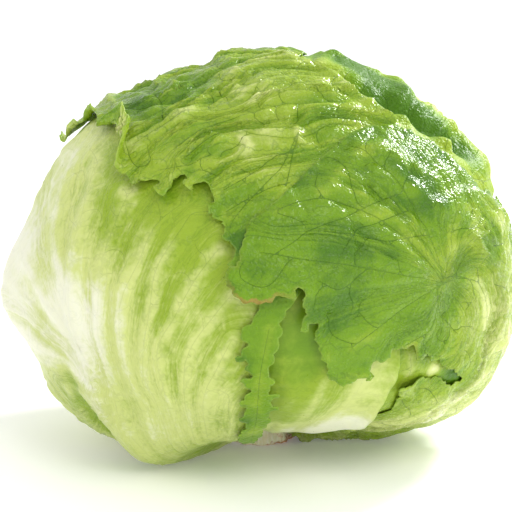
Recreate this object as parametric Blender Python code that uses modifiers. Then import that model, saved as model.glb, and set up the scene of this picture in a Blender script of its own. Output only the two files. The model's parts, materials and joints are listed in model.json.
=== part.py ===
"""Iceberg lettuce head, standing on its cut stump.

The head is a packed heart with nine wrapper leaves laid over it one after another. Each leaf is a
thin sheet: its margin is an outline on the head, given by azimuth and elevation seen from the
head's centre, and its distance from the centre follows the head's profile, the leaves beneath it,
and its own ribs, dents and lifted margin. Azimuth 0 is the front (-Y) and grows toward +X.
Lengths are in metres. The origin is the middle of the stump's cut face.
"""
import math
from dataclasses import dataclass

import bmesh
import bpy
import numpy as np
from mathutils import Vector
from mathutils.geometry import delaunay_2d_cdt

MM = 0.001

# Driving dimensions of the head
CENTRE_HEIGHT = 66 * MM          # centre of the head above the cut face
HEAD_DEPTH = 80 * MM             # half the head's depth, front to back
# Radii of the front outline, anticlockwise from +X in even steps
FRONT_RADII = tuple(r * MM for r in (82, 79, 75, 71, 68, 68, 72, 77, 81, 83, 80, 68, 61, 63, 76, 85))
LEAF_THICKNESS = 0.8 * MM
LEAF_GAP = 1.1 * MM              # air between two leaves that lie on each other
BASE_GAP = 0.8 * MM              # more of it round the stump, where the ribs are thick
HEART_DEPTH = 7.0 * MM           # packed heart below the head's profile
# Swellings and hollows of the whole head: azimuth, elevation, radius, height
HEAD_SHAPE = ((-38, -50, 20 * MM, 5 * MM), (-66, -46, 16 * MM, -5 * MM), (-84, -8, 22 * MM, 5 * MM),
              (34, -56, 30 * MM, -6 * MM), (0, -90, 28 * MM, -7 * MM), (88, 24, 15 * MM, 3 * MM))

# Driving dimensions of the stump
STUMP_RADIUS = 13.3 * MM
STUMP_HEIGHT = 15 * MM
STUMP_CHAMFER = 0.6 * MM
STUMP_SIDES = 40
PIECE_GAP = 0.4 * MM

# Fineness of the leaf sheets
SPACING = 8 * MM                 # between points inside a leaf
MARGIN_STEP = 4 * MM             # between points along a margin
SPREAD_BLEND = 6 * MM            # width over which ribs fade out under a covering leaf
DRAPE_REACH = 8 * MM             # how far a leaf beneath holds up the one above, past its margin
DRAPE_SLOPE = 0.7
SEED = 7


@dataclass(frozen=True)
class Rib:
    """A rib or fold: points as (azimuth, elevation), height and half width at its start and end."""
    points: tuple
    height: tuple
    width: tuple
    crest: bool = True           # the mesh has an edge along the crest


@dataclass(frozen=True)
class Leaf:
    """One wrapper leaf."""
    name: str
    colour: tuple
    rest: float                  # outer face above the head's profile
    margin: tuple                # (azimuth, elevation) of points that the margin passes through
    ribs: tuple = ()
    dents: tuple = ()            # (azimuth, elevation, radius, height)
    lift: float = 1.5 * MM       # how far the free margin stands off
    tooth: float = 1.4 * MM      # depth of the margin's teeth
    ripple: float = 0.7 * MM     # soft blisters all over the blade
    wander: float = 0.0          # slow waves of the margin along the head


def rib(points, height, width, crest=True):
    """Rib with sizes in millimetres, for short lists below."""
    return Rib(tuple(points), tuple(h * MM for h in height), tuple(w * MM for w in width), crest)


def dents(*items):
    """Dents and bumps given as (azimuth, elevation, radius in mm, height in mm)."""
    return tuple((az, el, r * MM, h * MM) for az, el, r, h in items)


REAR = Leaf(
    "leaf_rear", (0.55, 0.68, 0.24), -1.5 * MM,
    ((150, -75), (148, -50), (145, -20), (143, 10), (148, 40), (165, 58), (180, 62), (-160, 58),
     (-145, 40), (-142, 10), (-145, -20), (-148, -50), (-150, -75), (180, -76)),
    ribs=(rib([(180, -70), (178, -35), (182, 0), (180, 35), (176, 56)], (3.0, 0.8), (6, 3)),
          rib([(180, -55), (165, -25), (160, 5), (158, 35)], (1.5, 0.6), (4, 3)),
          rib([(180, -55), (-166, -25), (-160, 5), (-160, 35)], (1.5, 0.6), (4, 3))),
    wander=2.0 * MM)

RIGHT_REAR = Leaf(
    "leaf_right_rear", (0.42, 0.58, 0.16), 3.2 * MM,
    ((96, -75), (88, -45), (75, -10), (60, 15), (45, 30), (25, 50), (5, 70), (-60, 83), (-160, 75),
     (172, 55), (165, 30), (163, 0), (160, -30), (160, -55), (162, -75), (125, -76)),
    ribs=(rib([(128, -70), (132, -35), (128, 0), (118, 35), (95, 62)], (3.5, 1.0), (7, 3)),
          rib([(130, -50), (145, -22), (148, 10), (146, 38)], (1.8, 0.8), (4, 3)),
          rib([(130, -30), (116, 0), (104, 26)], (1.6, 0.8), (4, 3)),
          rib([(96, 52), (84, 50), (71, 49), (60, 44)], (2.5, 3.5), (4, 3)),
          rib([(92, 36), (80, 36), (68, 34)], (2.0, 3.5), (4, 3)),
          rib([(40, 70), (53, 60), (62, 52), (70, 42), (76, 37), (81, 33)],
              (-7.0, -6.0), (8, 7), False)),
    lift=2.5 * MM, wander=2.5 * MM)

LEFT_REAR = Leaf(
    "leaf_left_rear", (0.45, 0.62, 0.18), 0.5 * MM,
    ((-155, -75), (-158, -50), (-162, -20), (-165, 10), (-165, 35), (-150, 55), (-120, 60),
     (-85, 50), (-72, 30), (-68, 5), (-64, -15), (-60, -30), (-54, -45), (-50, -60), (-56, -75),
     (-110, -76)),
    ribs=(rib([(-112, -70), (-112, -35), (-118, 0), (-125, 30), (-135, 50)], (3.2, 0.8), (7, 3)),
          rib([(-113, -50), (-135, -25), (-145, 5), (-150, 32)], (1.8, 0.7), (4, 3)),
          rib([(-112, -45), (-95, -28), (-80, -22)], (1.8, 0.7), (4, 3))),
    lift=2.0 * MM, wander=2.5 * MM)

UNDER = Leaf(
    "leaf_under", (0.30, 0.47, 0.11), 1.5 * MM,
    ((20, -75), (15, -50), (20, -20), (25, 5), (45, 15), (70, 10), (82, -15), (80, -40), (74, -60),
     (80, -75), (50, -76)),
    ribs=(rib([(48, -68), (42, -40), (38, -17), (37, -8)], (1.4, 0.8), (3, 2)),),
    lift=1.0 * MM)

FRONT = Leaf(
    "leaf_front", (0.68, 0.74, 0.36), 2.5 * MM,
    ((33, -9), (33, -16), (32, -21), (31, -27), (31, -33), (30, -42), (27, -50), (30, -62),
     (45, -75), (15, -76), (-10, -75), (-4, -60), (-3, -45), (-3, -30), (-2, -15), (-1, -3), (0, 10),
     (10, 18), (25, 12), (34, 2)),
    ribs=(rib([(12, -70), (12, -45), (15, -22), (17, -6)], (1.5, 0.6), (5, 3)),
          rib([(20, -68), (21, -45), (24, -24), (25, -14)], (1.2, 0.5), (4, 3))),
    lift=2.2 * MM, tooth=0.0)

LEFT = Leaf(
    "leaf_left", (0.72, 0.78, 0.36), 3.5 * MM,
    ((-8, -75), (-3, -60), (-1, -45), (0, -30), (1, -15), (1, -5), (2, 3), (4, 12), (2, 22),
     (-8, 32), (-25, 40), (-45, 46), (-70, 48), (-95, 42), (-115, 32), (-128, 15), (-130, 0),
     (-118, -10), (-100, -15), (-85, -18), (-78, -24), (-75, -31), (-72, -36), (-68, -41),
     (-58, -46), (-52, -54), (-58, -66), (-80, -75), (-40, -76.5)),
    ribs=(rib([(-38, -72), (-36, -58), (-31, -32), (-35, -16), (-39, -5), (-41, 4), (-44, 13),
               (-47, 22), (-50, 31)], (4.0, 1.2), (8, 3)),
          rib([(-32, -48), (-27, -25), (-29, 0), (-31, 18), (-34, 28)], (1.4, 0.8), (4, 3)),
          rib([(-29, -50), (-21, -25), (-20, 0), (-21, 15), (-22, 24)], (1.4, 0.8), (4, 3)),
          rib([(-26, -52), (-14, -28), (-11, -8), (-11, 8), (-10, 18)], (1.4, 0.8), (4, 3)),
          rib([(-37, -36), (-50, -28), (-64, -26)], (1.8, 0.6), (4, 2)),
          rib([(-39, -12), (-55, -8), (-75, -8)], (1.6, 0.6), (4, 2)),
          rib([(-43, 6), (-60, 12), (-82, 14), (-102, 12)], (1.6, 0.6), (4, 2)),
          rib([(-46, 18), (-62, 26), (-80, 31)], (1.4, 0.6), (4, 2))),
    lift=1.2 * MM)

TONGUE = Leaf(
    "leaf_tongue", (0.36, 0.55, 0.12), 3.5 * MM,
    ((-9, -48), (-4, -42), (-4, -36), (-5, -31), (-4, -25), (-2, -21), (-4.5, -17), (-1, -14),
     (-5, -10), (-3, -7), (-4, -4), (0, 2), (-1, 8), (-2, 14), (3, 20), (12, 20), (14, 12), (9, 5),
     (5, 0), (4, -8), (2, -14), (3, -17), (2, -20), (5, -23), (3, -26), (5, -28), (3, -34),
     (1, -45), (3, -60), (8, -75), (-12, -76), (-10, -60)),
    ribs=(rib([(-8, -60), (-3, -44), (-1, -30), (0, -15), (2, -3)], (1.2, 1.0), (3, 3)),),
    lift=0.8 * MM, tooth=0.0, ripple=0.2 * MM)

CROWN = Leaf(
    "leaf_crown", (0.42, 0.60, 0.14), 4.0 * MM,
    ((75, -75), (68, -50), (64, -25), (58, -2), (45, 10), (30, 12), (15, 8), (4, 7), (-5, 10),
     (-8, 13), (-9, 17), (-13, 24), (-15, 30), (-17, 26), (-20, 30), (-26, 27), (-32, 28),
     (-36, 30), (-44, 34), (-52, 38), (-62, 42), (-74, 43), (-82, 38), (-91, 33), (-100, 37),
     (-115, 43), (-132, 46), (-150, 50), (-175, 56), (150, 66), (100, 78), (55, 78), (43, 66),
     (44, 58), (46, 48), (51, 38), (58, 28), (70, 15), (88, -5), (100, -30), (106, -55), (108, -75),
     (92, -76)),
    ribs=(rib([(34, 42), (24, 44), (12, 42), (-4, 37), (-14, 32)], (1.4, 0.8), (3, 2)),
          rib([(12, 42), (-2, 45), (-16, 43), (-34, 36)], (1.2, 0.7), (3, 2)),
          rib([(20, 48), (-4, 53), (-32, 49), (-58, 44)], (1.2, 0.7), (3, 2)),
          rib([(26, 54), (4, 64), (-42, 63), (-80, 52)], (1.2, 0.7), (3, 2)),
          rib([(34, 60), (24, 78), (-110, 78), (-128, 62)], (1.2, 0.7), (3, 2)),
          rib([(12, 42), (4, 30), (-6, 20)], (1.0, 0.7), (3, 2)),
          rib([(60, 78), (43, 67), (43, 58), (45, 48), (49, 41)], (2.0, 2.0), (5, 4))),
    dents=dents((-58, 49, 6, -1.5), (-41, 65, 6, -1.5), (-14, 41, 8, -1.8), (-4, 50, 7, -1.2),
                (23, 46, 8, -2.2), (-100, 62, 9, -1.5), (150, 78, 9, -1.4), (-150, 66, 9, -1.4)),
    lift=2.2 * MM)

RIGHT = Leaf(
    "leaf_right", (0.38, 0.56, 0.12), 5.0 * MM,
    ((36, -76), (29, -62), (30, -50), (31, -43), (30, -34), (31, -28), (34, -23), (38, -21),
     (43, -20), (50, -22), (57, -22), (61, -20), (56, -18), (48, -16), (42, -14), (36, -12),
     (32, -10), (28, -13), (27, -16), (20, -18.5), (15, -14), (13, -8), (11, -4), (10, 2), (7, 4),
     (2, 3), (-3, 2), (-6, 4), (-7, 9), (-5, 15), (-4, 20), (0, 21), (6, 26), (13, 32), (21, 37),
     (30, 41), (38, 42), (45, 41), (52, 37), (60, 30), (67, 21), (76, 17), (88, 12), (105, 8),
     (121, 0), (129, -15), (131, -35), (127, -55), (118, -75), (80, -77)),
    ribs=(rib([(50, -73), (44, -52), (46, -36), (52, -26), (57, -17), (60, -8), (57, 0), (51, 3),
               (44, 3)], (2.5, 1.2), (5, 2)),
          rib([(56, -70), (60, -45), (67, -24), (70, -4), (69, 10), (63, 20)], (1.6, 0.8), (4, 2)),
          rib([(66, -70), (74, -45), (82, -22), (84, -2), (82, 8)], (1.6, 0.8), (4, 2)),
          rib([(82, -70), (92, -42), (102, -18), (106, 2)], (1.6, 0.8), (4, 2)),
          rib([(96, -70), (110, -45), (120, -22)], (1.6, 0.8), (4, 2)),
          rib([(44, 3), (30, 7), (12, 11), (0, 13)], (1.0, 0.7), (3, 2)),
          rib([(44, 3), (32, 16), (16, 24), (4, 22)], (1.0, 0.7), (3, 2)),
          rib([(44, 3), (40, 18), (32, 32), (26, 38)], (1.0, 0.7), (3, 2)),
          rib([(44, 3), (50, 18), (52, 32)], (1.0, 0.7), (3, 2)),
          rib([(44, 3), (30, -2), (20, -8)], (1.0, 0.7), (3, 2)),
          rib([(44, 3), (40, -6), (33, -9)], (1.0, 0.7), (3, 2))),
    dents=dents((39, 29, 8, -1.4), (45, 21, 6, -1.4), (52, 6, 6, -1.0), (48, -3, 5, -1.0),
                (55, 14, 7, 1.6), (62, 8, 6, -1.2), (20, 14, 9, -1.0), (19, 0, 8, -1.0)),
    lift=1.8 * MM)

# From the innermost leaf outward
LEAVES = (REAR, RIGHT_REAR, LEFT_REAR, UNDER, FRONT, LEFT, TONGUE, CROWN, RIGHT)

STEM_COLOUR = (0.80, 0.76, 0.52)
HEART_COLOUR = (0.78, 0.80, 0.48)


def direction(azimuth, elevation):
    """Unit vectors for azimuths and elevations in degrees."""
    az, el = np.radians(azimuth), np.radians(elevation)
    return np.stack([np.sin(az) * np.cos(el), -np.cos(az) * np.cos(el), np.sin(el)], axis=-1)


def to_chart(d):
    """Flat chart of directions, seen from the stump: conformal, with the crown at its middle."""
    return d[..., :2] / (1 + d[..., 2:])


def from_chart(p):
    """Unit vectors at chart points."""
    square = (p ** 2).sum(axis=-1, keepdims=True)
    return np.concatenate([2 * p, 1 - square], axis=-1) / (1 + square)


def chart_scale(p):
    """Metres on the head for one unit of the chart at p."""
    return 2 * HEAD_DEPTH / (1 + (p ** 2).sum(axis=-1))


def swelling(d, places):
    """Sum of round swellings and hollows."""
    height = np.zeros(d.shape[:-1])
    for azimuth, elevation, radius, tall in places:
        away = np.linalg.norm(d - direction(azimuth, elevation), axis=-1) * HEAD_DEPTH
        height += tall * np.exp(-(away / radius) ** 2)
    return height


def profile_radius(d):
    """Distance of the head's profile from its centre, by trigonometric interpolation."""
    terms = np.fft.rfft(FRONT_RADII) / len(FRONT_RADII)
    angle = np.arctan2(d[..., 2], d[..., 0])
    front = np.full(angle.shape, terms[0].real)
    for k, term in enumerate(terms[1:], start=1):
        weight = 1 if 2 * k == len(FRONT_RADII) else 2
        front += weight * (term.real * np.cos(k * angle) - term.imag * np.sin(k * angle))
    across = d[..., 0] ** 2 + d[..., 2] ** 2
    return 1 / np.sqrt(across / front ** 2 + d[..., 1] ** 2 / HEAD_DEPTH ** 2) + swelling(d, HEAD_SHAPE)


def smooth_step(x):
    """0 below 0, 1 above 1, smooth between."""
    x = np.clip(x, 0, 1)
    return x * x * (3 - 2 * x)


def smooth_max(a, b, softness=0.8 * MM):
    """The larger of a and b, or a little more where they are close."""
    return 0.5 * (a + b + np.sqrt((a - b) ** 2 + softness ** 2))


def spline(points, closed, step):
    """Chart points at even steps of real length along a smooth curve through control points."""
    control = to_chart(direction(*np.array(points, float).T))
    count = len(control)
    if closed:
        padded = np.vstack([control[-1:], control, control[:2]])
        spans = count
    else:
        padded = np.vstack([2 * control[:1] - control[1:2], control, 2 * control[-1:] - control[-2:-1]])
        spans = count - 1
    t = np.linspace(0, 1, 16, endpoint=False)[:, None]
    curve = []
    for k in range(spans):
        a, b, c, d = padded[k:k + 4]
        curve.append(0.5 * (2 * b + (c - a) * t + (2 * a - 5 * b + 4 * c - d) * t ** 2
                            + (3 * b - a - 3 * c + d) * t ** 3))
    curve = np.vstack(curve + [padded[spans + 1][None]])
    lengths = np.linalg.norm(np.diff(curve, axis=0), axis=1) * chart_scale(curve[1:])
    along = np.concatenate([[0], np.cumsum(lengths)])
    pieces = max(4, round(along[-1] / step))
    marks = np.linspace(0, along[-1], pieces + 1)
    if closed:
        marks = marks[:-1]
    return np.stack([np.interp(marks, along, curve[:, k]) for k in (0, 1)], axis=1)


def distance_to_path(p, path, closed):
    """Real distance from chart points to a path, and the share of the path's length reached."""
    start = path
    end = np.roll(path, -1, axis=0)
    if not closed:
        start, end = path[:-1], path[1:]
    best = np.full(len(p), np.inf)
    share = np.zeros(len(p))
    for k, (a, b) in enumerate(zip(start, end)):
        run = b - a
        t = np.clip(((p - a) @ run) / max(run @ run, 1e-12), 0, 1)
        gap = np.hypot(*(p - a - t[:, None] * run).T)
        nearer = gap < best
        best = np.where(nearer, gap, best)
        share = np.where(nearer, (k + t) / len(start), share)
    return best * chart_scale(p), share


def inside_outline(p, outline):
    """True for chart points inside a closed outline."""
    inside = np.zeros(len(p), bool)
    for a, b in zip(outline, np.roll(outline, -1, axis=0)):
        crosses = (a[1] > p[:, 1]) != (b[1] > p[:, 1])
        rise = b[1] - a[1] if b[1] != a[1] else 1e-12
        inside ^= crosses & (p[:, 0] < a[0] + (p[:, 1] - a[1]) * (b[0] - a[0]) / rise)
    return inside


def depth_inside(p, outline):
    """Real distance inside an outline, negative outside."""
    distance = distance_to_path(p, outline, True)[0]
    return np.where(inside_outline(p, outline), distance, -distance)


def blisters(d, seed, waves=9, wavelength=26 * MM):
    """Soft undulation over directions, between about -1 and 1."""
    rng = np.random.default_rng(seed)
    total = np.zeros(len(d))
    for _ in range(waves):
        axis = rng.normal(size=3)
        axis *= 2 * math.pi * HEAD_DEPTH / (wavelength * rng.uniform(0.7, 1.5)) / np.linalg.norm(axis)
        total += np.sin(d @ axis + rng.uniform(0, 2 * math.pi))
    return total / math.sqrt(waves)


class Head:
    """Works out how far each leaf's outer face is from the head's centre."""

    def __init__(self, leaves):
        self.leaves = leaves
        self.outlines = [spline(leaf.margin, True, MARGIN_STEP) for leaf in leaves]
        self.rib_paths = [[spline(r.points, False, MARGIN_STEP) for r in leaf.ribs] for leaf in leaves]

    def shown(self, index, depths):
        """1 where no later leaf covers this one, 0 where one does."""
        cover = np.full(depths.shape[1], -np.inf)
        for depth in depths[index + 1:]:
            cover = np.maximum(cover, depth)
        return smooth_step(-cover / SPREAD_BLEND)

    def relief(self, index, p, d, depth):
        """Ribs, dents, blisters and lifted margin of one leaf."""
        leaf = self.leaves[index]
        height = leaf.ripple * blisters(d, SEED + index)
        raised = np.zeros(len(d))
        for shape, path in zip(leaf.ribs, self.rib_paths[index]):
            distance, share = distance_to_path(p, path, False)
            tall = shape.height[0] + (shape.height[1] - shape.height[0]) * share
            wide = shape.width[0] + (shape.width[1] - shape.width[0]) * share
            bump = tall * np.exp(-(distance / wide) ** 2)
            raised = np.maximum(raised, bump)
            height += np.minimum(bump, 0)
        height += raised + swelling(d, leaf.dents)
        wave = 0.6 + 0.6 * blisters(d, SEED * 3 + index, wavelength=20 * MM)
        return height + leaf.lift * wave * np.exp(-np.maximum(depth, 0) / (5 * MM))

    def ground_limit(self, d, cover):
        """Largest radius that keeps a leaf, and what covers it, above the ground."""
        down = np.minimum(d[:, 2], -1e-3)
        limit = (cover * (LEAF_THICKNESS + LEAF_GAP) - CENTRE_HEIGHT) / down
        return np.where(d[:, 2] < -0.1, limit, np.inf)

    def radii(self, index, p):
        """Radius of one leaf's outer face at chart points."""
        d = from_chart(p)
        depths = np.array([depth_inside(p, outline) for outline in self.outlines])
        profile = profile_radius(d)
        support = profile - HEART_DEPTH
        layer = LEAF_THICKNESS + LEAF_GAP + BASE_GAP * smooth_step((-d[:, 2] - 0.7) / 0.15)
        covered = smooth_step((depths + DRAPE_REACH) / (0.8 * DRAPE_REACH))
        for k in range(index + 1):
            own = profile + self.leaves[k].rest
            own += self.shown(k, depths) * self.relief(k, p, d, depths[k])
            radius = smooth_max(own, support + layer)
            radius = np.minimum(radius, self.ground_limit(d, covered[k + 1:].sum(axis=0)))
            past = np.maximum(-depths[k] - DRAPE_REACH, 0)
            support = np.maximum(support, radius - DRAPE_SLOPE * past)
        return radius


def toothed_margin(head, index):
    """Outline of a leaf with teeth where its margin shows, and longer steps where it is hidden."""
    leaf, outline = head.leaves[index], head.outlines[index]
    depths = np.array([depth_inside(outline, other) for other in head.outlines])
    shown = head.shown(index, depths)
    rng = np.random.default_rng(SEED * 5 + index)
    along = np.roll(outline, -1, axis=0) - np.roll(outline, 1, axis=0)
    outward = np.stack([along[:, 1], -along[:, 0]], axis=1)
    area = (outline[:, 0] * np.roll(outline[:, 1], -1) - outline[:, 1] * np.roll(outline[:, 0], -1)).sum()
    outward *= np.sign(area) / np.linalg.norm(outward, axis=1)[:, None]
    swing = np.where(np.arange(len(outline)) % 2, -0.5, 0.5) * rng.uniform(0.6, 1.4, len(outline))
    shift = (leaf.tooth * swing + leaf.wander * blisters(from_chart(outline), SEED * 7 + index)) * shown
    outline = outline + outward * (shift / chart_scale(outline))[:, None]
    keep = (shown > 0.05) | (np.arange(len(outline)) % 2 == 0)
    return outline[keep]


def head_points():
    """Chart points spread evenly over the head, the same for every leaf so that leaves nest."""
    count = round(4 * math.pi * HEAD_DEPTH ** 2 / (0.87 * SPACING ** 2))
    k = np.arange(count) + 0.5
    z = 1 - 2 * k / count
    turn = math.pi * (1 + math.sqrt(5)) * k
    ring = np.sqrt(1 - z * z)
    return to_chart(np.stack([ring * np.cos(turn), ring * np.sin(turn), z], axis=1))


def leaf_mesh(head, index):
    """Open sheet of one leaf: its margin, its rib crests and the even points, triangulated."""
    leaf = head.leaves[index]
    outline = toothed_margin(head, index)
    crests = []
    for shape, path in zip(leaf.ribs, head.rib_paths[index]):
        if shape.crest:
            depths = np.array([depth_inside(path, other) for other in head.outlines])
            path = path[(head.shown(index, depths) > 0.3) & (depths[index] > 0.6 * MARGIN_STEP)]
            if len(path) > 2:
                crests.append(path[::2])
    points = head_points()
    points = points[depth_inside(points, outline) > 0.5 * SPACING]
    for path in crests:
        points = points[distance_to_path(points, path, False)[0] > 0.45 * SPACING]
    coords, edges, start = [outline], [], len(outline)
    edges += [(k, (k + 1) % start) for k in range(start)]
    for path in crests:
        edges += [(start + k, start + k + 1) for k in range(len(path) - 1)]
        coords.append(path)
        start += len(path)
    coords.append(points)
    flat = [Vector(p) for p in np.vstack(coords)]
    corners, _, faces, *_ = delaunay_2d_cdt(flat, edges, [], 1, 1e-5)
    chart = np.array([tuple(v) for v in corners])
    places = from_chart(chart) * head.radii(index, chart)[:, None]
    places[:, 2] += CENTRE_HEIGHT
    mesh = bpy.data.meshes.new(leaf.name)
    mesh.from_pydata([tuple(v) for v in places], [], [tuple(f) for f in faces])
    return mesh


def material(name, colour, roughness):
    """Plain finish for one sub-part."""
    mat = bpy.data.materials.new(name)
    mat.use_nodes = True
    shader = mat.node_tree.nodes["Principled BSDF"]
    shader.inputs["Base Color"].default_value = (*colour, 1)
    shader.inputs["Roughness"].default_value = roughness
    shader.inputs["Metallic"].default_value = 0
    mat.diffuse_color = (*colour, 1)
    return mat


def add_object(collection, mesh, colour, roughness):
    """Object for a mesh, in the head's collection and with its own material."""
    obj = bpy.data.objects.new(mesh.name, mesh)
    mesh.materials.append(material(mesh.name, colour, roughness))
    collection.objects.link(obj)
    return obj


def add_leaf(collection, head, index):
    """One wrapper leaf, with its thickness laid inward."""
    leaf = head.leaves[index]
    obj = add_object(collection, leaf_mesh(head, index), leaf.colour, 0.4)
    obj.data.shade_smooth()
    shell = obj.modifiers.new("Thickness", "SOLIDIFY")
    shell.thickness = LEAF_THICKNESS
    shell.offset = -1
    return obj


def add_heart(collection):
    """Packed inner leaves: a closed core whose surface steps where their margins overlap."""
    mesh = bpy.data.meshes.new("heart")
    shape = bmesh.new()
    bmesh.ops.create_icosphere(shape, subdivisions=4, radius=1)
    d = np.array([tuple(v.co) for v in shape.verts])
    radius = profile_radius(d) - HEART_DEPTH - LEAF_GAP
    for k in range(8):
        middle = direction(137.5 * k, 30 - 9 * k)
        radius -= 0.5 * MM * smooth_step((0.62 - d @ middle) / 0.12)
    for vert, unit, r in zip(shape.verts, d, radius):
        place = unit * r
        vert.co = (place[0], place[1], max(place[2] + CENTRE_HEIGHT, STUMP_HEIGHT + PIECE_GAP))
    shape.to_mesh(mesh)
    shape.free()
    obj = add_object(collection, mesh, HEART_COLOUR, 0.45)
    obj.data.shade_smooth()


def add_stem(collection):
    """Cut stump: a turned profile, from the middle of its top round to the cut face."""
    outline = ((0, STUMP_HEIGHT), (0.82 * STUMP_RADIUS, STUMP_HEIGHT),
               (0.97 * STUMP_RADIUS, 0.75 * STUMP_HEIGHT), (STUMP_RADIUS, 0.3 * STUMP_HEIGHT),
               (STUMP_RADIUS, STUMP_CHAMFER), (STUMP_RADIUS - STUMP_CHAMFER, 0), (0, 0))
    mesh = bpy.data.meshes.new("stem")
    mesh.from_pydata([(x, 0, z) for x, z in outline], [(k, k + 1) for k in range(len(outline) - 1)], [])
    obj = add_object(collection, mesh, STEM_COLOUR, 0.6)
    turn = obj.modifiers.new("Turn", "SCREW")
    turn.steps = turn.render_steps = STUMP_SIDES
    turn.use_merge_vertices = True
    turn.merge_threshold = 0.0001
    turn.use_smooth_shade = True
    return obj


def main():
    """Build the head."""
    for obj in list(bpy.data.objects):
        bpy.data.objects.remove(obj)
    collection = bpy.data.collections.new("iceberg_lettuce")
    bpy.context.scene.collection.children.link(collection)
    add_stem(collection)
    add_heart(collection)
    head = Head(LEAVES)
    for index in range(len(LEAVES)):
        add_leaf(collection, head, index)


main()
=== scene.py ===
"""Iceberg lettuce head: fine leaves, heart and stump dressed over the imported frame.

Each wrapper leaf is a thin sheet over the head. Its place is worked out as in the part's source: a
margin given by azimuth and elevation seen from the head's centre, and a radius that follows the
head's profile, the leaves beneath, and the leaf's own ribs and dents. Here the sheets are finer and
get veins, blisters, folds, toothed and curled margins, and the tissue's colours.
Azimuth 0 is the front (-Y) and grows toward +X. Lengths are in metres.
"""

import json
import logging
import math
from dataclasses import dataclass, field
from enum import Enum

import bmesh
import bpy
import numpy as np
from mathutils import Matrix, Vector, kdtree
from mathutils.geometry import delaunay_2d_cdt

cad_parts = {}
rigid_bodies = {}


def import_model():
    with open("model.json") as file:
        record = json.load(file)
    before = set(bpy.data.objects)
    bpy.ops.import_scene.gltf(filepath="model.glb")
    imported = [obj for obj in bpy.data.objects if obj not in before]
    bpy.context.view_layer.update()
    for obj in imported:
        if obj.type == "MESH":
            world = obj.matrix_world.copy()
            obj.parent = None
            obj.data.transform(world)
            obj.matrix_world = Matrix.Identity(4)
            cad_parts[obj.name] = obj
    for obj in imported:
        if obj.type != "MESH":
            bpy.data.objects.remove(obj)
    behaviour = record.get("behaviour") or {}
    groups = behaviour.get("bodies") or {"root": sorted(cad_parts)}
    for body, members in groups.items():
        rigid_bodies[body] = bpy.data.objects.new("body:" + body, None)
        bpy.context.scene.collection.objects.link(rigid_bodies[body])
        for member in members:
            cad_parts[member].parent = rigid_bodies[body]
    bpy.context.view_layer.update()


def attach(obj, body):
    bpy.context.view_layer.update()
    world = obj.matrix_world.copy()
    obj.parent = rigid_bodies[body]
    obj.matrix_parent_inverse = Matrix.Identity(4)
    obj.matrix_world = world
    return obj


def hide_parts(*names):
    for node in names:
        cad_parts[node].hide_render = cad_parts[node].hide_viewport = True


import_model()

log = logging.getLogger("lettuce")
Array = np.ndarray
Points = tuple[tuple[float, ...], ...]

MM = 0.001

# Driving dimensions of the head, as in the part's source
CENTRE_HEIGHT = 66 * MM
HEAD_DEPTH = 80 * MM
# Radii of the head seen from the front, at even steps from the right side over the crown
FRONT_RADII = tuple(r * MM for r in (82, 79, 75, 71, 68, 68, 72, 77, 81, 83, 80, 68, 61, 63, 76, 85))
LEAF_THICKNESS = 0.8 * MM
LEAF_GAP = 1.1 * MM
BASE_GAP = 0.8 * MM
HEART_DEPTH = 7.0 * MM
# Swellings and hollows of the profile: azimuth, elevation, radius, height
HEAD_SHAPE = ((-38, -50, 20 * MM, 5 * MM), (-66, -46, 16 * MM, -5 * MM), (-84, -8, 22 * MM, 5 * MM),
              (34, -56, 30 * MM, -6 * MM), (0, -90, 28 * MM, -7 * MM), (88, 24, 15 * MM, 3 * MM),
              # from here on only in this dress, nearer the outline
              (-80, 14, 20 * MM, -2.6 * MM), (-84, -21, 12 * MM, -4.5 * MM), (-83, -9, 9 * MM, 2.5 * MM),
              (-46, -56, 13 * MM, -1.8 * MM), (-20, -54, 12 * MM, -2 * MM), (24, -49, 12 * MM, 2.6 * MM),
              (8, -66, 10 * MM, -2.5 * MM), (-12, -61, 13 * MM, -3 * MM), (-66, -40, 12 * MM, 2.6 * MM),
              (78, -20, 16 * MM, -1.6 * MM))
SPREAD_BLEND = 6 * MM
DRAPE_REACH = 8 * MM
DRAPE_SLOPE = 0.7
MARGIN_STEP = 4 * MM
SEED = 7

# Fineness of the dressed sheets
BLADE_THICKNESS = 0.4 * MM       # thinner than the solid, which needs body for its walls
FINE_MARGIN_STEP = 0.8 * MM
HIDDEN_THINNING = 13             # one point in so many is kept where a leaf is covered
VEIN_STEP = 1.6 * MM
PRESS_REACH = 4.5 * MM           # width of a margin that lies flat on the leaf below
PRESS_GAP = 0.7 * MM
FLAP_TURN = 2.9                  # a curl's largest roll; what is left of it folds back flat
FAN_STEP = 14 * MM               # breadth of tissue between two ribs that follow in a leaf's fan
BAND_WIDTH = 7 * MM              # from one soft rib between the main ones to the next
GROOVE_WIDTH = 0.8               # half width of a vein's groove, in mm


class Edge(Enum):
    """How a leaf's free margin is cut."""

    SMOOTH = "smooth"
    RAGGED = "ragged"
    CRENATE = "crenate"


@dataclass(frozen=True)
class Rib:
    """A rib or fold: points as (azimuth, elevation), height and half width at its start and end."""

    points: Points
    height: tuple[float, float]
    width: tuple[float, float]
    order: float | None = None   # place in the leaf's fan, which the grain of the tissue follows

    def half_width(self, share: Array) -> Array:
        """Half width at shares of the rib's length."""
        return self.width[0] + (self.width[1] - self.width[0]) * share

    def bump(self, distance: Array, share: Array) -> Array:
        """Height at distances from the rib's line and shares of its length."""
        tall = self.height[0] + (self.height[1] - self.height[0]) * share
        return tall * np.exp(-(distance / self.half_width(share)) ** 2)


@dataclass(frozen=True)
class Curl:
    """A stretch of margin rolled outward: where it is, its reach, and the roll's radius and depth."""

    azimuth: float
    elevation: float
    reach: float
    radius: float
    depth: float


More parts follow.
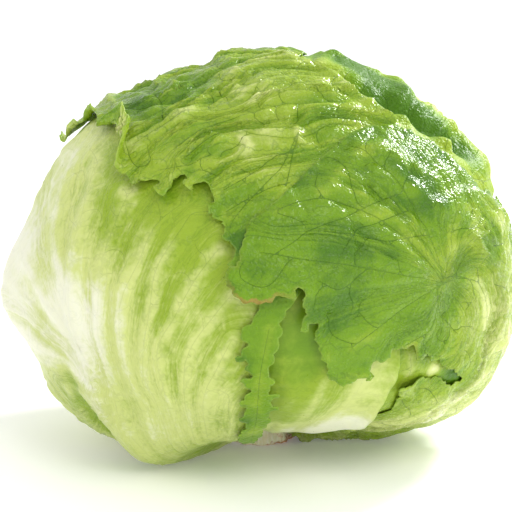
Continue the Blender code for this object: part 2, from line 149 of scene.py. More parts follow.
@dataclass(frozen=True)
class Leaf:
    """One wrapper leaf: the sizes of the part's source."""

    name: str
    rest: float
    margin: Points
    ribs: tuple[Rib, ...] = ()
    dents: Points = ()
    lift: float = 1.5 * MM
    ripple: float = 0.7 * MM
    wander: float = 0.0
    tucks: bool = False          # passes under the front leaf at the front lobe
    pressed: Points = ()         # where the margin lies flat on the leaf below
    raised: Points = ()          # swellings that last where the leaf is covered


@dataclass(frozen=True)
class Blade:
    """What the dressed leaf adds to its sheet."""

    spacing: float = 1.6 * MM
    edge: Edge = Edge.RAGGED
    tooth: float = 0.9 * MM
    lobe: float = 1.0 * MM
    ruffle: float = 0.5 * MM
    blister: float = 0.5 * MM
    fold: float = 0.4 * MM
    fold_size: tuple[float, float] = (11 * MM, 60 * MM)   # across and along the ribs
    crumple: float = 0.0         # smaller folds upon the folds
    wrinkle: float = 0.10 * MM
    groove: float = 0.25 * MM
    band: float = 0.0            # height of the soft ribs between the main ones
    food: float = 4.4 * MM       # spacing of the places that the veins grow toward
    veins: tuple[Points, ...] = ()
    curls: tuple[Curl, ...] = ()
    green: tuple[float, float] = (0.5, 0.8)   # greenness at the stump and at the crown
    rib_pale: float = 0.35
    # Some tones deepen the green where shade falls: painted shade.
    tones: Points = ()           # (azimuth, elevation, radius, change of greenness)
    scorched: Points = ()        # (azimuth, elevation, radius, amount) of browned margin
    calm: Points = ()            # (azimuth, elevation, radius, share) where the margin is smooth
    frilled: Points = ()         # where the margin stands off in waves
    still: Points = ()           # (azimuth, elevation, radius, share) without folds
    creases: tuple[Rib, ...] = ()


@dataclass(frozen=True)
class Tissue:
    """Finish of a leaf's blade."""

    name: str
    slot: str
    streak: float = 0.25
    vein_dark: float = 0.5
    net: float = 0.3
    crinkle: float = 1.0
    brown: float = 0.0
    roughness: float = 0.34
    shine: float = 0.42


def rib(points: list, height: tuple, width: tuple, order: float | None = None) -> Rib:
    """Rib with sizes in millimetres, for short lists below."""
    return Rib(tuple(points), tuple(h * MM for h in height), tuple(w * MM for w in width), order)


def spots(*items: tuple) -> Points:
    """Dents given as (azimuth, elevation, radius in mm, height in mm)."""
    return tuple((az, el, r * MM, h * MM) for az, el, r, h in items)


def tones(*items: tuple) -> Points:
    """Places given as (azimuth, elevation, radius in mm, share or change)."""
    return tuple((az, el, r * MM, change) for az, el, r, change in items)


def curl(azimuth: float, elevation: float, reach: float, radius: float, depth: float) -> Curl:
    """Curl with sizes in millimetres."""
    return Curl(azimuth, elevation, reach * MM, radius * MM, depth * MM)


REAR = Leaf(
    "leaf_rear", -1.5 * MM,
    ((150, -75), (148, -50), (145, -20), (143, 10), (148, 40), (165, 58), (180, 62), (-160, 58),
     (-145, 40), (-142, 10), (-145, -20), (-148, -50), (-150, -75), (180, -76)),
    ribs=(rib([(180, -70), (178, -35), (182, 0), (180, 35), (176, 56)], (3.0, 0.8), (6, 3), 0),
          rib([(180, -55), (165, -25), (160, 5), (158, 35)], (1.5, 0.6), (4, 3), -1),
          rib([(180, -55), (-166, -25), (-160, 5), (-160, 35)], (1.5, 0.6), (4, 3), 1)),
    wander=2.0 * MM)

RIGHT_REAR = Leaf(
    "leaf_right_rear", 3.2 * MM,
    ((96, -75), (88, -45), (75, -10), (60, 15), (45, 30), (25, 50), (5, 70), (-60, 83), (-160, 75),
     (172, 55), (165, 30), (163, 0), (160, -30), (160, -55), (162, -75), (125, -76)),
    ribs=(rib([(128, -70), (132, -35), (128, 0), (118, 35), (95, 62)], (3.5, 1.0), (7, 3), 0),
          rib([(130, -50), (145, -22), (148, 10), (146, 38)], (1.8, 0.8), (4, 3), 1),
          rib([(130, -30), (116, 0), (104, 26)], (1.6, 0.8), (4, 3), -1),
          rib([(96, 52), (84, 50), (71, 49), (60, 44)], (2.5, 3.5), (4, 3)),
          rib([(92, 36), (80, 36), (68, 34)], (2.0, 3.5), (4, 3)),
          rib([(40, 70), (53, 60), (62, 52), (70, 42), (76, 37), (81, 33)],
              (-7.0, -6.0), (8, 7))),
    lift=2.5 * MM, wander=2.5 * MM)

LEFT_REAR = Leaf(
    "leaf_left_rear", 0.5 * MM,
    ((-155, -75), (-158, -50), (-162, -20), (-165, 10), (-165, 35), (-150, 55), (-120, 60),
     (-85, 50), (-72, 30), (-68, 5), (-64, -15), (-60, -30), (-54, -45), (-50, -60), (-56, -75),
     (-110, -76)),
    ribs=(rib([(-112, -70), (-112, -35), (-118, 0), (-125, 30), (-135, 50)], (3.2, 0.8), (7, 3), 0),
          rib([(-113, -50), (-135, -25), (-145, 5), (-150, 32)], (1.8, 0.7), (4, 3), -1),
          rib([(-112, -45), (-95, -28), (-80, -22)], (1.8, 0.7), (4, 3), 1)),
    lift=2.0 * MM, wander=2.5 * MM)

UNDER = Leaf(
    "leaf_under", 1.5 * MM,
    ((20, -75), (15, -50), (20, -20), (25, 5), (45, 15), (70, 10), (82, -15), (80, -40), (74, -60),
     (80, -75), (50, -76)),
    ribs=(rib([(48, -68), (42, -40), (38, -17), (37, -8)], (1.4, 0.8), (3, 2), 0),),
    lift=1.0 * MM, raised=spots((57, -20, 10, 3.2), (68, -23, 8, 2.2), (37, -27, 11, 1.6)))

FRONT = Leaf(
    "leaf_front", 2.5 * MM,
    ((33, -9), (33, -15), (32.5, -20), (32, -25), (32.5, -31), (33, -38), (32, -45), (27, -54),
     (30, -64), (45, -75), (15, -76), (-10, -75), (-4, -60), (-3, -45), (-3, -30), (-2, -15), (-1, -3),
     (0, 10), (10, 18), (25, 12), (34, 2)),
    ribs=(rib([(12, -70), (12, -45), (15, -22), (17, -6)], (1.5, 0.6), (5, 3), 0),
          rib([(20, -68), (21, -45), (24, -24), (25, -14)], (1.2, 0.5), (4, 3), 1)),
    dents=spots((30, -36, 12, 1.0), (29, -48, 12, 1.0)),
    lift=1.6 * MM)

LEFT = Leaf(
    "leaf_left", 3.5 * MM,
    ((-8, -75), (-3, -60), (-1, -45), (0, -30), (1, -15), (1, -5), (2, 3), (4, 12), (2, 22),
     (-8, 32), (-25, 40), (-45, 46), (-70, 48), (-95, 42), (-115, 32), (-128, 15), (-130, 0),
     (-118, -10), (-100, -15), (-85, -18), (-78, -24), (-75, -31), (-72, -36), (-68, -41),
     (-58, -46), (-52, -54), (-58, -66), (-80, -75), (-40, -76.5)),
    ribs=(rib([(-38, -72), (-38, -58), (-41, -42), (-42, -28), (-44, -15), (-46, -5), (-47, 6),
               (-48, 17), (-52, 29)], (4.0, 1.2), (8, 3), 0),
          rib([(-36, -50), (-38, -31), (-37, -19), (-38, -7), (-38, 2), (-38, 13), (-36, 21),
               (-34, 27)], (1.3, 0.8), (4, 3), 1),
          rib([(-32, -48), (-29, -28), (-31, -20), (-32, -8), (-32, 0), (-28, 10), (-25, 18),
               (-19, 24)], (1.3, 0.8), (4, 3), 2),
          rib([(-29, -46), (-26, -26), (-27, -17), (-25, -2), (-24, 7), (-20, 15), (-17, 21)],
              (1.3, 0.8), (4, 3), 3),
          rib([(-25, -44), (-23, -23), (-23, -10), (-19, -2), (-14, 7), (-9, 14)], (1.3, 0.8), (4, 2.5), 4),
          rib([(-21, -42), (-18, -19), (-16, -10), (-10, -1), (-6, 4)], (1.0, 0.7), (3, 2), 5),
          rib([(-17, -40), (-14, -23), (-10, -14), (-6, -6)], (0.8, 0.5), (3, 2), 6),
          rib([(-42, -27), (-49, -25), (-58, -26)], (1.8, 0.6), (4, 2), -5),
          rib([(-43, -21), (-51, -18), (-61, -16), (-77, -15)], (1.4, 0.6), (4, 2), -4),
          rib([(-44, -14), (-54, -5), (-65, 2), (-82, 6), (-102, 8)], (1.6, 0.6), (4, 2), -2.5),
          rib([(-46, -4), (-52, 5), (-58, 13), (-64, 22), (-69, 30)], (1.4, 0.6), (4, 2), -1)),
    lift=1.2 * MM)

TONGUE = Leaf(
    "leaf_tongue", 3.5 * MM,
    ((-6.8, -42), (-6.2, -37.5), (-3.6, -32.5), (-5.2, -29), (-3.4, -26), (-4.6, -22.3), (-2.1, -19),
     (-4.2, -16), (-1.1, -14.6), (-3.2, -13), (-2.2, -11.4), (-5, -10.3), (-4.1, -8.6), (-2.6, -6.7),
     (-4.2, -4.4), (-2.5, -2.3), (-0.8, -0.3), (0, 3), (-1, 8), (-2, 14), (3, 20), (12, 20), (14, 12),
     (9, 5), (6, 1), (4.5, -1.5), (4.5, -4.2), (3.7, -7.4), (2.7, -11.4), (1.7, -13.6), (3.2, -16.5),
     (1.8, -19.6), (4.6, -21), (2.2, -23), (4.6, -25.5), (2.2, -27.5), (2.8, -30.8), (0.8, -36),
     (0.6, -40), (-1.5, -44), (-3, -47.5), (-6, -46)),
    ribs=(rib([(-4, -60), (-3, -44), (-1, -30), (0, -15), (2, -3)], (1.2, 1.0), (3, 3), 0),),
    lift=0.8 * MM, ripple=0.2 * MM)

CROWN = Leaf(
    "leaf_crown", 4.0 * MM,
    ((84, -75), (80, -50), (77, -25), (68, -4), (50, 10), (30, 12), (15, 8), (4, 7), (-5, 9),
     (-7, 10), (-5.5, 12), (-5.5, 14), (-7, 15.7), (-8.4, 18), (-9.5, 19), (-10.5, 22), (-13, 23.5),
     (-12.3, 26.4), (-14, 29.3), (-15.5, 28.4), (-15.8, 26), (-17.2, 26), (-18.2, 29.6), (-20.3, 29.7),
     (-21, 28), (-23.5, 27), (-26.4, 25.8), (-29.4, 27.6), (-33, 27.2), (-36, 28), (-42, 30), (-50, 33),
     (-58, 37), (-66, 41), (-74, 43), (-81, 42), (-87, 38), (-91, 33), (-96, 29), (-102, 32), (-108, 38),
     (-116, 43), (-132, 46), (-150, 50), (-175, 56), (150, 66), (100, 78), (55, 78), (43, 66),
     (44, 58), (46, 48), (51, 38), (58, 28), (70, 15), (88, -5), (100, -30), (106, -55), (108, -75),
     (92, -76)),
    ribs=(rib([(12, 42), (6, 33), (3, 30), (-3, 24), (-6, 20)], (1.0, 0.7), (3, 2)),
          rib([(12, 42), (10, 38), (3, 35), (-2, 31), (-9, 27)], (1.0, 0.7), (3, 2)),
          rib([(30, 30), (16, 30), (4, 28), (-8, 22)], (0.0, 0.0), (3, 2), 0.8),
          rib([(34, 42), (24, 44), (12, 41), (1, 42), (-8, 44), (-16, 41), (-22, 35)], (1.4, 0.8), (3, 2), 2),
          rib([(40, 50), (16, 53), (9, 53), (-5, 50), (-12, 48), (-18, 46), (-24, 40), (-28, 33)],
              (1.2, 0.7), (3, 2), 3),
          rib([(42, 60), (24, 65), (3, 64), (-5, 56), (-14, 52), (-26, 50), (-34, 44), (-40, 37)],
              (1.2, 0.7), (3, 2), 4),
          rib([(44, 68), (10, 76), (-19, 74), (-35, 67), (-38, 56), (-44, 47), (-52, 41)],
              (1.4, 0.8), (3, 2), 5),
          rib([(50, 76), (-45, 82), (-52, 72), (-57, 62), (-66, 54), (-80, 47)], (1.2, 0.7), (3, 2), 6),
          rib([(60, 80), (-110, 82), (-118, 68), (-126, 56)], (1.2, 0.7), (3, 2), 7),
          rib([(60, 78), (43, 67), (43, 58), (45, 48), (49, 41)], (2.0, 2.0), (5, 4))),
    dents=spots((-58, 49, 6, -1.5), (-41, 65, 6, -1.5), (-14, 41, 8, -1.8), (-4, 50, 7, -1.2),
                (23, 46, 8, -2.2), (-100, 62, 9, -1.5), (150, 78, 9, -1.4), (-150, 66, 9, -1.4),
                (-5, 36, 4.5, 1.3), (-17, 38, 5, -1.0)),
    lift=2.0 * MM, pressed=tones((100, 78, 22, 1.0), (150, 66, 20, 1.0), (-170, 58, 16, 1.0),
                                 (-94, 32, 12, 0.6), (-110, 38, 10, 1.0)))

RIGHT = Leaf(
    "leaf_right", 5.0 * MM,
    ((36, -76), (31, -62), (34, -50), (37, -42), (38, -34), (38, -28), (36.5, -24), (35, -20.5),
     (38, -19.5), (42, -20), (46, -19.5), (50, -21.5), (53.5, -22.3), (55.5, -21), (53.5, -19.4), (50, -18),
     (45, -15), (42, -14), (38, -12), (35, -10.5), (31, -9), (28.5, -11.4), (26, -12), (25.3, -15.3),
     (23.7, -14.6), (21.5, -16.6), (19.4, -16.7), (17.7, -17.6), (14.7, -12.8), (13.8, -10.2), (12, -8),
     (12.7, -5.5), (12.2, -3), (9.8, -4), (9, -1.4), (9, 0.7), (9.4, 3.5), (8.3, 5.4), (7.5, 5.3),
     (6.6, 3.6), (4.3, 4.1), (2, 3.2), (-0.4, 2.8), (-3, 3), (-5.5, 4.7), (-6.6, 7.2), (-6.6, 9.7),
     (-4.5, 12), (-3.2, 15), (-3, 18), (-2, 20), (0, 21), (6, 26), (13, 32), (21, 37),
     (30, 41), (38, 42), (45, 41), (52, 37), (60, 30), (67, 21), (76, 17), (88, 12), (105, 8),
     (121, 0), (129, -15), (131, -35), (127, -55), (118, -75), (80, -77)),
    ribs=(rib([(50, -73), (44, -52), (46, -36), (52, -26), (57, -17), (60, -8), (57, 0), (51, 3),
               (44, 3)], (2.5, 1.2), (5, 2), 0),
          rib([(56, -70), (60, -45), (67, -24), (70, -4), (69, 10), (63, 20)], (1.6, 0.8), (4, 2), -7),
          rib([(66, -70), (74, -45), (82, -22), (84, -2), (82, 8)], (1.6, 0.8), (4, 2), -8),
          rib([(82, -70), (92, -42), (102, -18), (106, 2)], (1.6, 0.8), (4, 2), -9),
          rib([(96, -70), (110, -45), (120, -22)], (1.6, 0.8), (4, 2), -10),
          rib([(44, 3), (30, 7), (12, 11), (0, 13)], (1.0, 0.7), (3, 2), -3),
          rib([(44, 3), (32, 16), (16, 24), (4, 22)], (1.0, 0.7), (3, 2), -4),
          rib([(44, 3), (40, 18), (32, 32), (26, 38)], (1.0, 0.7), (3, 2), -5),
          rib([(44, 3), (50, 18), (52, 32)], (1.0, 0.7), (3, 2), -6),
          rib([(44, 3), (30, -2), (20, -8)], (1.0, 0.7), (3, 2), -2),
          rib([(44, 3), (40, -6), (33, -9)], (1.0, 0.7), (3, 2), -1)),
    dents=spots((39, 29, 8, -1.4), (45, 21, 6, -1.4), (52, 6, 6, -1.0), (48, -3, 5, -1.0),
                (55, 14, 7, 1.6), (62, 8, 6, -1.2), (20, 14, 9, -1.0), (19, 0, 8, -1.0),
                (57, -20, 9, -1.6), (42, 21, 4, -1.4), (42, 25, 3, -1.0), (53, 14, 4, -1.2),
                (59, 9, 4, -1.0), (25, 32, 4, -1.0), (19, 23, 4, -1.0), (30, 11, 4, -1.0),
                (14, 13, 4, -0.8), (46, -1, 4, -1.2), (49, 4, 3.5, -1.0), (14, -3, 5, -0.9)),
    lift=1.2 * MM, tucks=True,
    pressed=tones((4, 25, 11, 1.0), (13, 32, 11, 1.0), (24, 38, 11, 1.0), (36, 42, 11, 1.0),
                  (38, -27, 9, 1.0), (45, -19, 7, 1.0), (58, -21, 10, 1.0), (37, -38, 10, 1.0),
                  (34, -49, 10, 1.0)))

# Where the outermost leaf passes under the front leaf: azimuth, elevation, radius, share
TUCK_UNDER = "leaf_front"
TUCKED = tones((32, -34, 14, 1.2), (38, -28, 12, 0.8), (30, -46, 16, 1.2), (44, -24, 9, 0.7))

# From the innermost leaf outward
LEAVES = (REAR, RIGHT_REAR, LEFT_REAR, UNDER, FRONT, LEFT, TONGUE, CROWN, RIGHT)


# Directions and the chart

def direction(azimuth: Array | float, elevation: Array | float) -> Array:
    """Unit vectors for azimuths and elevations in degrees."""
    az, el = np.radians(azimuth), np.radians(elevation)
    return np.stack([np.sin(az) * np.cos(el), -np.cos(az) * np.cos(el), np.sin(el)], axis=-1)


def to_chart(rays: Array) -> Array:
    """Flat chart of directions, seen from the stump: conformal, with the crown at its middle."""
    return rays[..., :2] / (1 + rays[..., 2:])


def from_chart(chart: Array) -> Array:
    """Unit vectors at chart points."""
    square = (chart ** 2).sum(axis=-1, keepdims=True)
    return np.concatenate([2 * chart, 1 - square], axis=-1) / (1 + square)


def chart_scale(chart: Array) -> Array:
    """Metres on the head for one unit of the chart, at chart points."""
    return 2 * HEAD_DEPTH / (1 + (chart ** 2).sum(axis=-1))


def swelling(rays: Array, places: Points) -> Array:
    """Sum of round swellings and hollows.

    Args:
        rays: Unit vectors.
        places: Rows of azimuth, elevation, radius and height.

    Returns:
        Height at each vector.
    """
    height = np.zeros(rays.shape[:-1])
    for azimuth, elevation, radius, tall in places:
        away = np.linalg.norm(rays - direction(azimuth, elevation), axis=-1) * HEAD_DEPTH
        height += tall * np.exp(-(away / radius) ** 2)
    return height


def profile_radius(rays: Array) -> Array:
    """Distance of the head's profile from its centre, by trigonometric interpolation.

    Args:
        rays: Unit vectors.

    Returns:
        Radius in metres for each.
    """
    terms = np.fft.rfft(FRONT_RADII) / len(FRONT_RADII)
    angle = np.arctan2(rays[..., 2], rays[..., 0])
    front = np.full(angle.shape, terms[0].real)
    for k, term in enumerate(terms[1:], start=1):
        weight = 1 if 2 * k == len(FRONT_RADII) else 2
        front += weight * (term.real * np.cos(k * angle) - term.imag * np.sin(k * angle))
    across = rays[..., 0] ** 2 + rays[..., 2] ** 2
    return 1 / np.sqrt(across / front ** 2 + rays[..., 1] ** 2 / HEAD_DEPTH ** 2) + swelling(rays, HEAD_SHAPE)


def smooth_step(x: Array | float) -> Array:
    """0 below 0, 1 above 1, smooth between."""
    x = np.clip(x, 0, 1)
    return x * x * (3 - 2 * x)


def smooth_max(a: Array, b: Array, softness: float = 0.8 * MM) -> Array:
    """The larger of a and b, or a little more where they are close."""
    return 0.5 * (a + b + np.sqrt((a - b) ** 2 + softness ** 2))


def spline(points: Points, closed: bool, step: float) -> Array:
    """Chart points at even steps of real length along a smooth curve.

    Args:
        points: Control points as (azimuth, elevation).
        closed: True for a loop.
        step: Real distance between the points returned.

    Returns:
        Array of chart points.
    """
    control = to_chart(direction(*np.array(points, float).T))
    count = len(control)
    if closed:
        padded = np.vstack([control[-1:], control, control[:2]])
        spans = count
    else:
        padded = np.vstack([2 * control[:1] - control[1:2], control, 2 * control[-1:] - control[-2:-1]])
        spans = count - 1
    t = np.linspace(0, 1, 16, endpoint=False)[:, None]
    curve = []
    for k in range(spans):
        a, b, c, d = padded[k:k + 4]
        curve.append(0.5 * (2 * b + (c - a) * t + (2 * a - 5 * b + 4 * c - d) * t ** 2
                            + (3 * b - a - 3 * c + d) * t ** 3))
    curve = np.vstack(curve + [padded[spans + 1][None]])
    lengths = np.linalg.norm(np.diff(curve, axis=0), axis=1) * chart_scale(curve[1:])
    along = np.concatenate([[0], np.cumsum(lengths)])
    pieces = max(4, round(along[-1] / step))
    marks = np.linspace(0, along[-1], pieces + 1)
    if closed:
        marks = marks[:-1]
    return np.stack([np.interp(marks, along, curve[:, k]) for k in (0, 1)], axis=1)


def nearest_on_path(chart: Array, path: Array, closed: bool) -> tuple[Array, Array, Array]:
    """Nearest places on a path.

    Args:
        chart: Chart points.
        path: Chart points of the path.
        closed: True for a loop.

    Returns:
        Real distances, the share of the path's length reached, and the nearest chart points.
    """
    start, end = path, np.roll(path, -1, axis=0)
    if not closed:
        start, end = path[:-1], path[1:]
    best = np.full(len(chart), np.inf)
    share = np.zeros(len(chart))
    for k, (a, b) in enumerate(zip(start, end)):
        run = b - a
        t = np.clip(((chart - a) @ run) / max(run @ run, 1e-12), 0, 1)
        gap = ((chart - a - t[:, None] * run) ** 2).sum(axis=1)
        nearer = gap < best
        best = np.where(nearer, gap, best)
        share = np.where(nearer, k + t, share)
    segment = np.minimum(share.astype(int), len(start) - 1)
    place = start[segment] + (share - segment)[:, None] * (end - start)[segment]
    return np.sqrt(best) * chart_scale(chart), share / len(start), place


def inside_outline(chart: Array, outline: Array) -> Array:
    """True for chart points inside a closed outline.

    Args:
        chart: Chart points.
        outline: Chart points of the loop.

    Returns:
        One truth value for each point.
    """
    inside = np.zeros(len(chart), bool)
    for a, b in zip(outline, np.roll(outline, -1, axis=0)):
        crosses = (a[1] > chart[:, 1]) != (b[1] > chart[:, 1])
        rise = b[1] - a[1] if b[1] != a[1] else 1e-12
        inside ^= crosses & (chart[:, 0] < a[0] + (chart[:, 1] - a[1]) * (b[0] - a[0]) / rise)
    return inside


def depth_inside(chart: Array, outline: Array) -> Array:
    """Real distance inside an outline, negative outside."""
    distance = nearest_on_path(chart, outline, True)[0]
    return np.where(inside_outline(chart, outline), distance, -distance)


def outward_normals(outline: Array) -> Array:
    """Chart vectors square to a closed outline.

    Args:
        outline: Chart points of the loop.

    Returns:
        A vector for each point, out of the loop and as long as the steps beside it.
    """
    run = np.roll(outline, -1, axis=0) - np.roll(outline, 1, axis=0)
    normal = np.stack([run[:, 1], -run[:, 0]], axis=1)
    x, y = outline.T
    return normal * np.sign((x * np.roll(y, -1) - y * np.roll(x, -1)).sum())


def blisters(rays: Array, seed: int, count: int = 9, wavelength: float = 26 * MM) -> Array:
    """Soft undulation over directions, between about -1 and 1.

    Args:
        rays: Unit vectors.
        seed: Seed of the random draw.
        count: Number of waves.
        wavelength: Mean length of a wave on the head.

    Returns:
        A value for each vector.
    """
    rng = np.random.default_rng(seed)
    total = np.zeros(len(rays))
    for _ in range(count):
        axis = rng.normal(size=3)
        axis *= 2 * math.pi * HEAD_DEPTH / (wavelength * rng.uniform(0.7, 1.5)) / np.linalg.norm(axis)
        total += np.sin(rays @ axis + rng.uniform(0, 2 * math.pi))
    return total / math.sqrt(count)


def waves(coords: Array, seed: int, lengths: tuple[float, ...], count: int = 12) -> Array:
    """Sum of random waves in any coordinates.

    Args:
        coords: Points, one row each.
        seed: Seed of the random draw.
        lengths: Wavelength along each coordinate.
        count: Number of waves.

    Returns:
        Values around 0, mostly between -1 and 1.
    """
    rng = np.random.default_rng(seed)
    total = np.zeros(len(coords))
    for _ in range(count):
        axis = rng.normal(size=len(lengths))
        axis /= np.linalg.norm(axis)
        axis = 2 * math.pi * axis / np.array(lengths) * rng.uniform(0.7, 1.5)
        total += np.sin(coords @ axis + rng.uniform(0, 2 * math.pi))
    return total / math.sqrt(count)


def even_directions(spacing: float) -> Array:
    """Unit vectors spread evenly, about the spacing apart on the head.

    Args:
        spacing: Distance between neighbours on the head.

    Returns:
        Unit vectors.
    """
    count = round(4 * math.pi * HEAD_DEPTH ** 2 / (0.87 * spacing ** 2))
    k = np.arange(count) + 0.5
    z = 1 - 2 * k / count
    turn = math.pi * (1 + math.sqrt(5)) * k
    ring = np.sqrt(1 - z * z)
    return np.stack([ring * np.cos(turn), ring * np.sin(turn), z], axis=1)


def tree_of(points: Array) -> kdtree.KDTree:
    """Search tree over points in space.

    Args:
        points: Points, one row each.

    Returns:
        The tree, ready to be searched.
    """
    tree = kdtree.KDTree(len(points))
    for k, point in enumerate(points):
        tree.insert(point, k)
    tree.balance()
    return tree


# The stack of leaves

@dataclass
class Fields:
    """What is known of one leaf at its sheet's points."""

    chart: Array                 # chart points
    rays: Array                  # unit vectors
    depth: Array                 # real distance inside the smooth margin
    shown: Array                 # 1 where nothing covers the leaf
    radius: Array                # distance of the outer face from the centre
    across: Array                # place in the fan of ribs, in metres
    along: Array                 # distance from the stump over the head
    rib: Array                   # 1 on the main ribs, 0 away from them


@dataclass
class Head:
    """Works out how far each leaf's outer face is from the head's centre."""

    leaves: tuple[Leaf, ...]
    tucked: Points = ()          # where the outermost leaf passes under the front leaf
    outlines: list[Array] = field(init=False)
    rib_paths: list[list[Array]] = field(init=False)

    def __post_init__(self) -> None:
        """Traces the margins and ribs."""
        self.outlines = [spline(leaf.margin, True, MARGIN_STEP) for leaf in self.leaves]
        self.rib_paths = [[spline(r.points, False, MARGIN_STEP) for r in leaf.ribs]
                          for leaf in self.leaves]

    def depths(self, chart: Array) -> Array:
        """Real distance inside each leaf's margin, one row for each leaf."""
        return np.array([depth_inside(chart, outline) for outline in self.outlines])

    def shown(self, index: int, depths: Array) -> Array:
        """1 where no later leaf covers this one, 0 where one does.

        Args:
            index: Place of the leaf in the stack.
            depths: Depths inside every margin.

        Returns:
            A value for each point, with a soft change at the covering margin.
        """
        cover = np.full(depths.shape[1], -np.inf)
        for depth in depths[index + 1:]:
            cover = np.maximum(cover, depth)
        return smooth_step(-cover / SPREAD_BLEND)

    def relief(self, index: int, chart: Array, rays: Array, depth: Array) -> Array:
        """Ribs, dents, blisters and lifted margin of one leaf.

        Args:
            index: Place of the leaf in the stack.
            chart: Chart points.
            rays: Unit vectors at them.
            depth: Depths inside the leaf's margin.

        Returns:
            Height at each point.
        """
        leaf = self.leaves[index]
        height = leaf.ripple * blisters(rays, SEED + index)
        raised = np.zeros(len(rays))
        for shape, path in zip(leaf.ribs, self.rib_paths[index]):
            distance, share, _ = nearest_on_path(chart, path, False)
            bump = shape.bump(distance, share)
            raised = np.maximum(raised, bump)
            height += np.minimum(bump, 0)
        height += raised + swelling(rays, leaf.dents)
        wave = 0.6 + 0.6 * blisters(rays, SEED * 3 + index, wavelength=20 * MM)
        return height + leaf.lift * wave * np.exp(-np.maximum(depth, 0) / (5 * MM))

    def ground_limit(self, rays: Array, cover: Array) -> Array:
        """Largest radius that keeps a leaf, and what covers it, above the ground.

        Args:
            rays: Unit vectors.
            cover: Number of leaves that lie over each point.

        Returns:
            Radius for each point, endless where it looks up.
        """
        down = np.minimum(rays[:, 2], -1e-3)
        limit = (cover * (LEAF_THICKNESS + LEAF_GAP) - CENTRE_HEIGHT) / down
        return np.where(rays[:, 2] < -0.1, limit, np.inf)

    def radii(self, index: int, chart: Array, rays: Array, depths: Array) -> Array:
        """Radius of one leaf's outer face, before its fine relief.

        Args:
            index: Place of the leaf in the stack.
            chart: Chart points.
            rays: Unit vectors at them.
            depths: Depths inside every margin.

        Returns:
            Radius at each point.
        """
        profile = profile_radius(rays)
        support = profile - HEART_DEPTH
        layer = LEAF_THICKNESS + LEAF_GAP + BASE_GAP * smooth_step((-rays[:, 2] - 0.7) / 0.15)
        covered = smooth_step((depths + DRAPE_REACH) / (0.8 * DRAPE_REACH))
        tuck = smooth_step(swelling(rays, self.tucked) - 0.2)
        low = support
        for k in range(index + 1):
            own = profile + self.leaves[k].rest
            own += self.shown(k, depths) * self.relief(k, chart, rays, depths[k])
            own += swelling(rays, self.leaves[k].raised)
            base = support
            if self.leaves[k].tucks:
                own -= tuck * (self.leaves[k].rest - 1.0 * MM)
                base = (1 - tuck) * support + tuck * low
            radius = smooth_max(own, base + layer)
            flat = swelling(rays, self.leaves[k].pressed) * np.exp(-(depths[k] / PRESS_REACH) ** 2)
            radius += np.clip(flat, 0, 1) * (base + PRESS_GAP - radius)
            radius = np.minimum(radius, self.ground_limit(rays, covered[k + 1:].sum(axis=0)))
            past = np.maximum(-depths[k] - DRAPE_REACH, 0)
            support = np.maximum(support, radius - DRAPE_SLOPE * past)
            if self.leaves[k].name != TUCK_UNDER:
                low = np.maximum(low, radius - DRAPE_SLOPE * past)
        return radius

    def fields(self, index: int, chart: Array) -> Fields:
        """Everything the dressing of one leaf needs at chart points.

        Args:
            index: Place of the leaf in the stack.
            chart: Chart points.

        Returns:
            The fields at them.
        """
        rays = from_chart(chart)
        depths = self.depths(chart)
        total, weight, ridge = np.zeros(len(chart)), np.full(len(chart), 1e-9), np.zeros(len(chart))
        for shape, path in zip(self.leaves[index].ribs, self.rib_paths[index]):
            if shape.order is None:
                continue
            distance, share, _ = nearest_on_path(chart, path, False)
            pull = 1 / (distance ** 2 + (2 * MM) ** 2) ** 1.5
            total += pull * shape.order
            weight += pull
            wide = 1.2 * shape.half_width(share)
            ridge = np.maximum(ridge, (1 - 0.4 * share) * np.exp(-(distance / wide) ** 2))
        along = (math.pi / 2 + np.arcsin(np.clip(rays[:, 2], -1, 1))) * HEAD_DEPTH
        return Fields(chart, rays, depths[index], self.shown(index, depths),
                      self.radii(index, chart, rays, depths), total / weight * FAN_STEP, along, ridge)


# Veins

